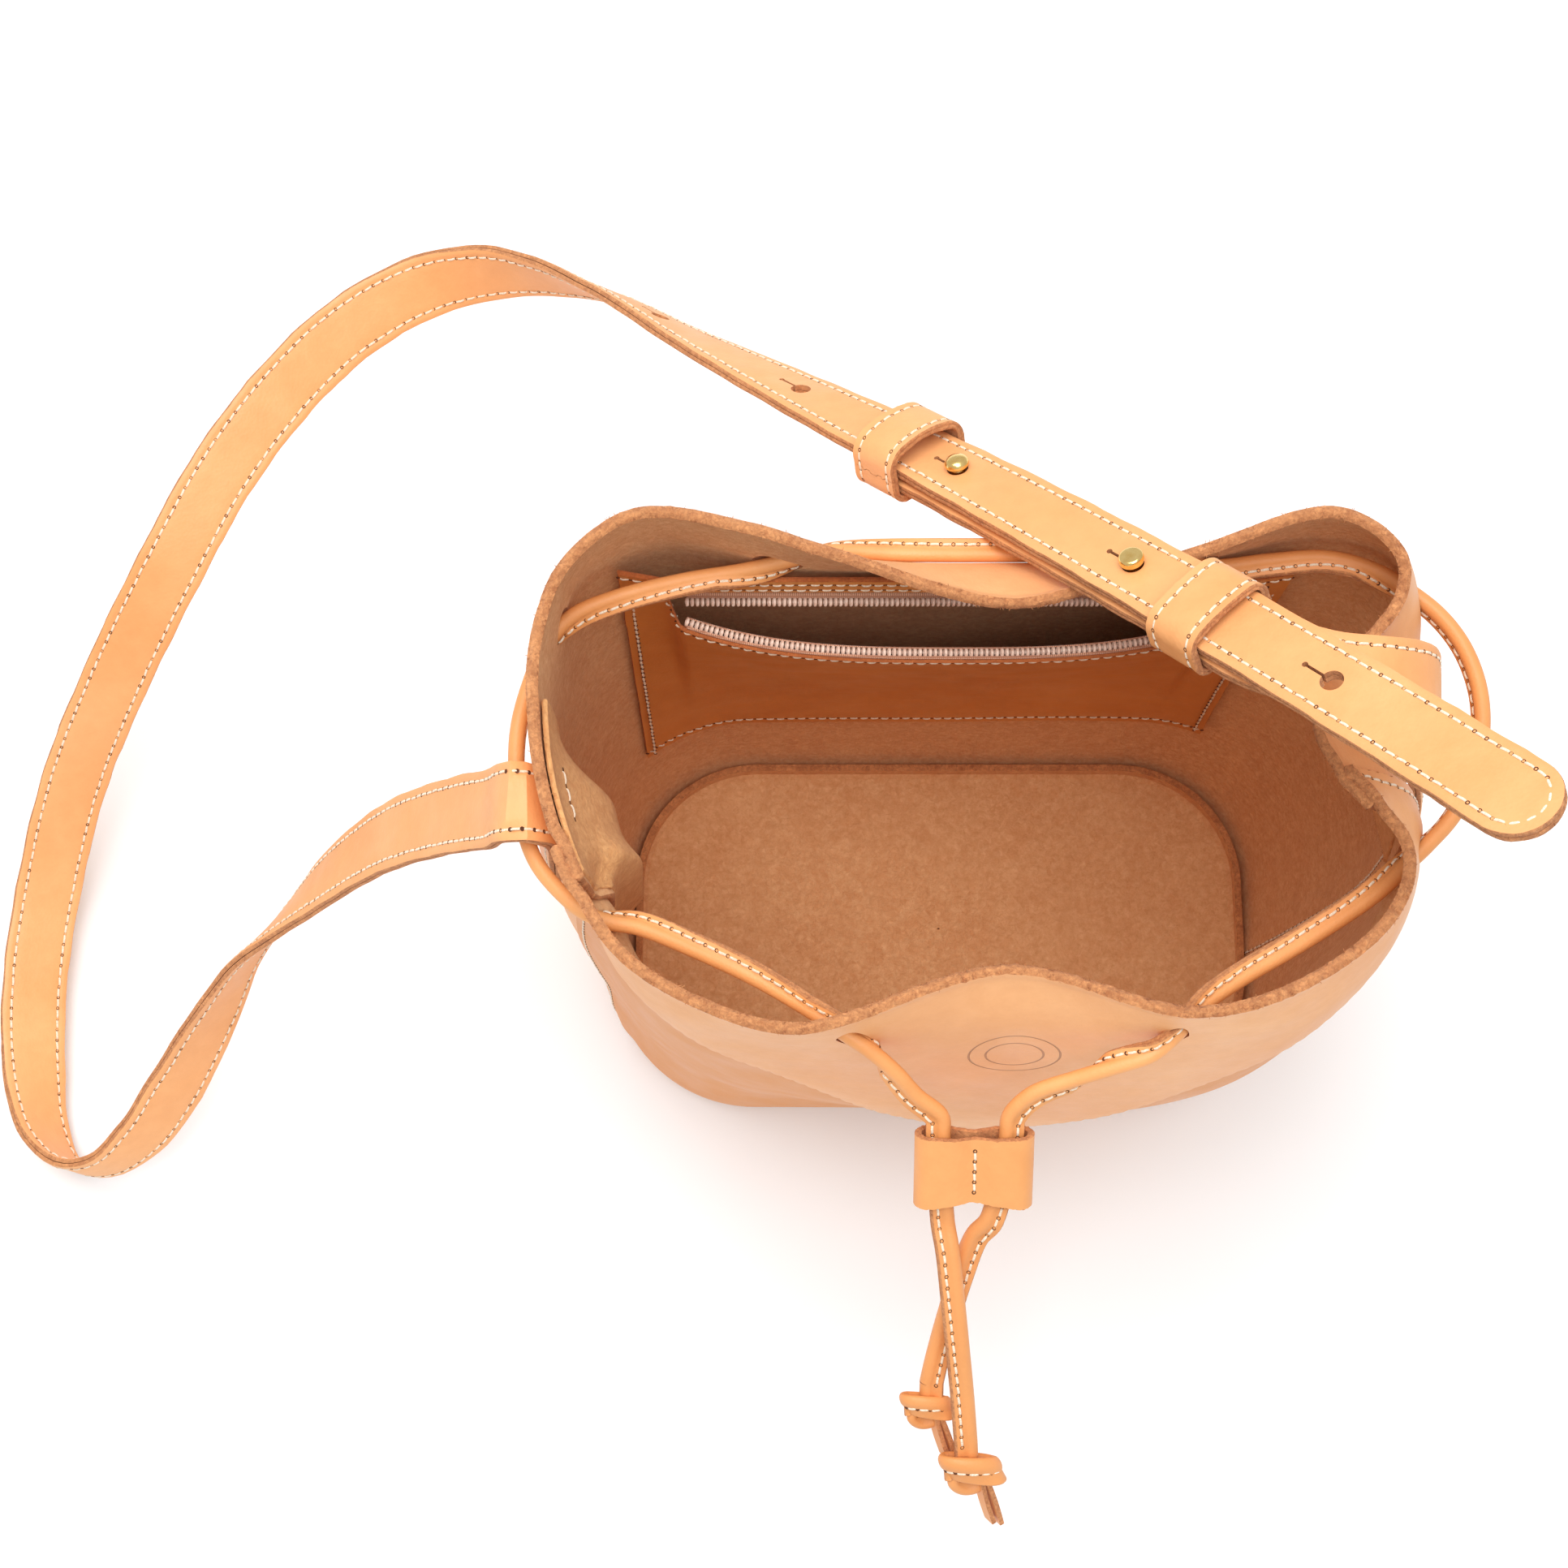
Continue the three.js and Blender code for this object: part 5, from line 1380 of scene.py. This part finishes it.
def make_slider():
    """A strip of leather wrapped round both cords, pinched and sewn in the middle."""
    across = np.array([1.0, 0, 0])
    up = np.cross(SLIDER_AXIS, across)
    share = (np.linspace(0, 1, 160, endpoint=False) + 0.001)
    ways = np.linspace(-1, 1, 21)

    def surface(out, shares=share, places=ways):
        rows = []
        for w in places:
            x, y = slider_outline(out, shares)
            wave = 0.7 * MM * np.cos(x / (14.6 * MM) * math.pi) * (1 if w > 0 else -0.35) * abs(w) ** 3
            t = w * SLIDER_LENGTH / 2 - wave - 0.3 * MM * abs(w) ** 3 * np.sign(w)
            rows.append(SLIDER_CENTRE + SLIDER_AXIS * t[:, None] + across * x[:, None] + up * y[:, None])
        return np.stack(rows, 1)

    outer, inner = surface(1.7 * MM), surface(0)
    verts, faces, kinds = shell(outer, inner, ring=True, ragged=0.06 * MM, rings=3, bulge=0.15)
    grain = grain_leather("grain_slider", srgb(240, 174, 110), srgb(226, 154, 90), pore=700, wrinkle=0.9)
    obj = piece("cord_slider_leather", verts, faces, [grain, RAW, RAW], kinds, "cord_slider",
                ["cord_slider"])
    rows = []
    for share_at, sign in ((0.25, 1), (0.75, -1)):
        places = np.linspace(-0.62, 0.62, 30)
        points = surface(1.74 * MM, np.array([share_at]), places)[0]
        rows.append((points, np.tile(up * sign, (len(points), 1))))
    stitch_rows("cord_slider_stitches", rows, "cord_slider", 3.1 * MM, 0.9 * MM)
    return obj


# ---------------------------------------------------------------- pocket and zip
ZIP_LEFT, ZIP_RIGHT, ZIP_Y, ZIP_Z = -83 * MM, 70 * MM, 47.3 * MM, 190 * MM
ZIP_BOW, ZIP_END = 10.5 * MM, 6.5 * MM
TOOTH_HALF, ROW_OFFSET = 0.75 * MM, 1.4 * MM
TILT = math.radians(20)
ZIP_DOWN = np.array([0, -math.cos(TILT), -math.sin(TILT)])
ZIP_OUT = np.array([0, -math.sin(TILT), math.cos(TILT)])
POCKET_LEFT, POCKET_RIGHT = -94 * MM, 81 * MM
POCKET_TOP, STRIP_BOTTOM, POCKET_BOTTOM = 202 * MM, 194 * MM, 50 * MM
POCKET_LEATHER = 1.4 * MM


def share_of(x):
    return np.abs(x - (ZIP_LEFT + ZIP_RIGHT) / 2) / ((ZIP_RIGHT - ZIP_LEFT) / 2)


def bow(x):
    return ZIP_BOW * np.maximum(0, 1 - share_of(x) ** 3)


def on_zip(x, down, out=0.0):
    x = np.asarray(x, float)
    base = np.stack([x, np.full_like(x, ZIP_Y), np.full_like(x, ZIP_Z)], -1)
    down, out = (np.broadcast_to(a, x.shape)[..., None] for a in (down, out))
    return base + ZIP_DOWN * down + ZIP_OUT * out


def strip_y(x):
    return 50 * MM + 14 * MM * np.maximum(0, share_of(x) - 1)


BACK_X = np.linspace(-100, 90, 191) * MM
BACK_Z = np.linspace(40, 206, 42) * MM


def back_table():
    """The back wall's inner surface: y at each place of BACK_Z and BACK_X."""
    u = np.linspace(0.33, 0.69, 300)
    rows = []
    for z in BACK_Z:
        points = wall(u, v_at(u, z))[0]
        order = np.argsort(points[:, 0])
        rows.append(np.interp(BACK_X, points[order, 0], points[order, 1]) - WALL)
    return np.array(rows)


BACK_Y = back_table()


def back_inner_y(x, z):
    i = np.clip((x - BACK_X[0]) / (BACK_X[1] - BACK_X[0]), 0, len(BACK_X) - 1.001)
    j = np.clip((z - BACK_Z[0]) / (BACK_Z[1] - BACK_Z[0]), 0, len(BACK_Z) - 1.001)
    a, b, i, j = i % 1, j % 1, i.astype(int), j.astype(int)
    low = BACK_Y[j, i] * (1 - a) + BACK_Y[j, i + 1] * a
    high = BACK_Y[j + 1, i] * (1 - a) + BACK_Y[j + 1, i + 1] * a
    return low * (1 - b) + high * b


POCKET_COLUMNS = 176
STRIP_ROWS, LOWER_ROWS = 6, 46


def pocket_grid():
    """The panel's front surface: strip rows, then the rows below the zip's opening."""
    x = np.linspace(POCKET_LEFT, POCKET_RIGHT, POCKET_COLUMNS + 1)
    strip_z = np.linspace(POCKET_TOP, STRIP_BOTTOM, STRIP_ROWS)
    rows = [np.column_stack([x, strip_y(x), np.full_like(x, z)]) for z in strip_z]
    lip = on_zip(x, ROW_OFFSET + TOOTH_HALF + 2 * MM + bow(x))
    opened = smooth(np.clip((1 - share_of(x)) * 14, 0, 1))
    top_y = strip_y(x) * (1 - opened) + lip[:, 1] * opened
    top_z = (STRIP_BOTTOM - 0.6 * MM) * (1 - opened) + lip[:, 2] * opened
    for f in np.linspace(0, 1, LOWER_ROWS) ** 1.3:
        z = top_z * (1 - f) + POCKET_BOTTOM * f
        lean = back_inner_y(x, top_z) - 3 * MM - top_y
        share_down = np.clip((z - top_z) / (POCKET_BOTTOM - top_z), 0, 1)
        y = back_inner_y(x, z) - 3 * MM - lean * (1 - share_down) ** 1.6
        rows.append(np.column_stack([x, y, z]))
    return np.stack(rows, 1), x, opened


def make_pocket():
    front, x, opened = pocket_grid()
    front = front[:, ::-1]
    back = front + np.array([0, POCKET_LEATHER, 0])
    n, m = front.shape[:2]
    keep = np.ones((n - 1, m - 1), bool)
    gap_row = m - 1 - STRIP_ROWS
    keep[(opened[:-1] > 0.02) | (opened[1:] > 0.02), gap_row] = False
    verts, faces, kinds = shell(front, back, keep=keep, ragged=0.05 * MM, rings=2, bulge=0.25)
    piece("pocket_panel_leather", verts, faces, [POCKET, POCKET_RAW, POCKET_RAW], kinds, "bag",
          ["pocket_panel"])
    front = front[:, ::-1]
    forward = np.tile([0, -1.0, 0], (POCKET_COLUMNS + 1, 1))

    strip = np.array([POCKET_TOP, STRIP_BOTTOM])
    rows = []
    for z in (strip[0] - 2.3 * MM, strip[1] + 1.9 * MM):
        inner = np.abs(x - (ZIP_LEFT + ZIP_RIGHT) / 2) < (90 if z > 198 * MM else 82) * MM
        points = np.column_stack([x, strip_y(x) - 0.02 * MM, np.full_like(x, z)])[inner]
        rows.append((points, forward[:len(points)]))
    for side in (1, -1):
        for inset in (2.5 * MM,):
            column = (0 if side > 0 else POCKET_COLUMNS)
            points = front[column, STRIP_ROWS + 2:-1] + np.array([side * inset, -0.05 * MM, 0])
            rows.append((points, forward[:len(points)]))
    column_points = front[:, -2] + np.array([0, -0.03 * MM, 0])
    rows.append((column_points, forward))
    lip = front[6:-6, STRIP_ROWS] - front[6:-6, STRIP_ROWS + 1]
    low_row = front[6:-6, STRIP_ROWS] - unit(lip) * 2.2 * MM + np.array([0, -0.05 * MM, 0])
    rows.append((low_row, forward[6:-6]))
    for reach in (3.2 * MM, 6.2 * MM):
        for end, side in ((ZIP_LEFT, -1), (ZIP_RIGHT, 1)):
            turn = np.linspace(-math.pi / 2, math.pi / 2, 24)
            ex = end + side * reach * np.cos(turn) * 0.9
            ez = STRIP_BOTTOM - 0.3 * MM + reach * np.sin(turn) * 0.75
            points = np.column_stack([ex, strip_y(ex) - 0.05 * MM, ez])
            rows.append((points, forward[:24]))
    stitch_rows("pocket_stitches", rows, pitch=3.3 * MM)


def zip_tooth():
    """One turn of the coil: a flat loop of round wire across the row, with two shining heads."""
    a = np.linspace(0, 2 * math.pi, 14, endpoint=False)
    loop = np.column_stack([0.2 * MM * np.sin(a), 0.95 * MM * np.cos(a), 0.7 * MM * np.sin(a)])
    b = np.linspace(0, 2 * math.pi, 6, endpoint=False)
    verts = []
    for point in loop:
        outward = unit(point * (0, 1, 1))
        for turn in b:
            sideways = np.array([0.42 * MM * math.sin(turn), 0, 0])
            verts.append(point + outward * 0.34 * MM * math.cos(turn) + sideways)
    index = np.arange(14 * 6).reshape(14, 6)
    index = np.vstack([index, index[:1]])
    index = np.hstack([index, index[:, :1]])
    quads = np.stack([index[:-1, :-1], index[1:, :-1], index[1:, 1:], index[:-1, 1:]], -1).reshape(-1, 4)
    return np.array(verts), quads


def teeth_row(name, points, ups, cad):
    places = along_line(points, 1.35 * MM)
    centres = sample(points, places)
    along = unit(np.gradient(centres, axis=0))
    verts, faces = stamped(zip_tooth(), centres, along, unit(sample(ups, places)))
    return piece(name, verts, faces, [COIL], None, "bag", cad, sharp=60)


def ribbon_sheet(name, near, far, thick, finish, cad, ways):
    """A thin strip between two rows of points."""
    middle = np.linspace(0, 1, 7)
    grid = near[:, None] * (1 - middle[None, :, None]) + far[:, None] * middle[None, :, None]
    shift = unit(ways) * thick / 2
    verts, faces, kinds = shell(grid + shift, grid - shift, rings=1, bulge=0.2)
    return piece(name, verts, faces, [finish, finish, finish], kinds, "bag", cad)


def make_zip():
    x = np.linspace(ZIP_LEFT + ZIP_END, ZIP_RIGHT - ZIP_END, 220)
    ups = np.tile(ZIP_OUT, (len(x), 1))
    teeth_row("zip_coil_upper", on_zip(x, -ROW_OFFSET), ups, ["zip_teeth_upper"])
    teeth_row("zip_coil_lower", on_zip(x, ROW_OFFSET + bow(x)), ups, ["zip_teeth_lower"])
    ribbon_sheet("zip_tape_upper_weave", on_zip(x, -2.4 * MM), on_zip(x, -4.6 * MM), 0.5 * MM, TAPE,
                 ["zip_tape_upper"], ZIP_OUT)
    for k, (down, thick) in enumerate(((ROW_OFFSET + 1.3 * MM, 0.9), (ROW_OFFSET - 1.15 * MM, 0.7))):
        line = on_zip(x, down + bow(x), 0.35 * MM if k == 0 else 0.1 * MM)
        half = thick * MM / 2
        turn = np.linspace(0, 2 * math.pi, 8, endpoint=False)
        profile = np.column_stack([half * np.cos(turn) * (1.0 if k == 0 else 0.8), half * np.sin(turn)])
        verts, faces, _ = sweep(line, np.tile(ZIP_DOWN, (len(x), 1)), profile, [0] * 8)
        piece(f"zip_cord_edge_{k + 1}", verts, faces, [TAPE], None, "bag")
    near = on_zip(x, ROW_OFFSET + bow(x), -1.3 * MM)
    ribbon_sheet("zip_tape_lower_weave", near, near + np.array([0, 1.6, -7]) * MM, 0.5 * MM, TAPE,
                 ["zip_tape_lower"], np.array([0, -1.0, 0]))
    for name in ("zip_slider", "zip_pull"):
        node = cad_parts[name]
        for slot in node.material_slots:
            slot.material = BRASS


# ---------------------------------------------------------------- assembly
make_camera()
cord_line = make_cords()
make_stage()
make_wall(cord_line)
make_base()
make_patches()
make_straps()
make_keeper("keeper_1", KEEPER_AT[0], 3.2 * MM, 2.4 * MM)
make_keeper("keeper_2", KEEPER_AT[1], 1.2 * MM, 1.3 * MM)
make_studs()
make_slider()
make_pocket()
make_zip()

bpy.context.scene.view_settings.view_transform = "Standard"
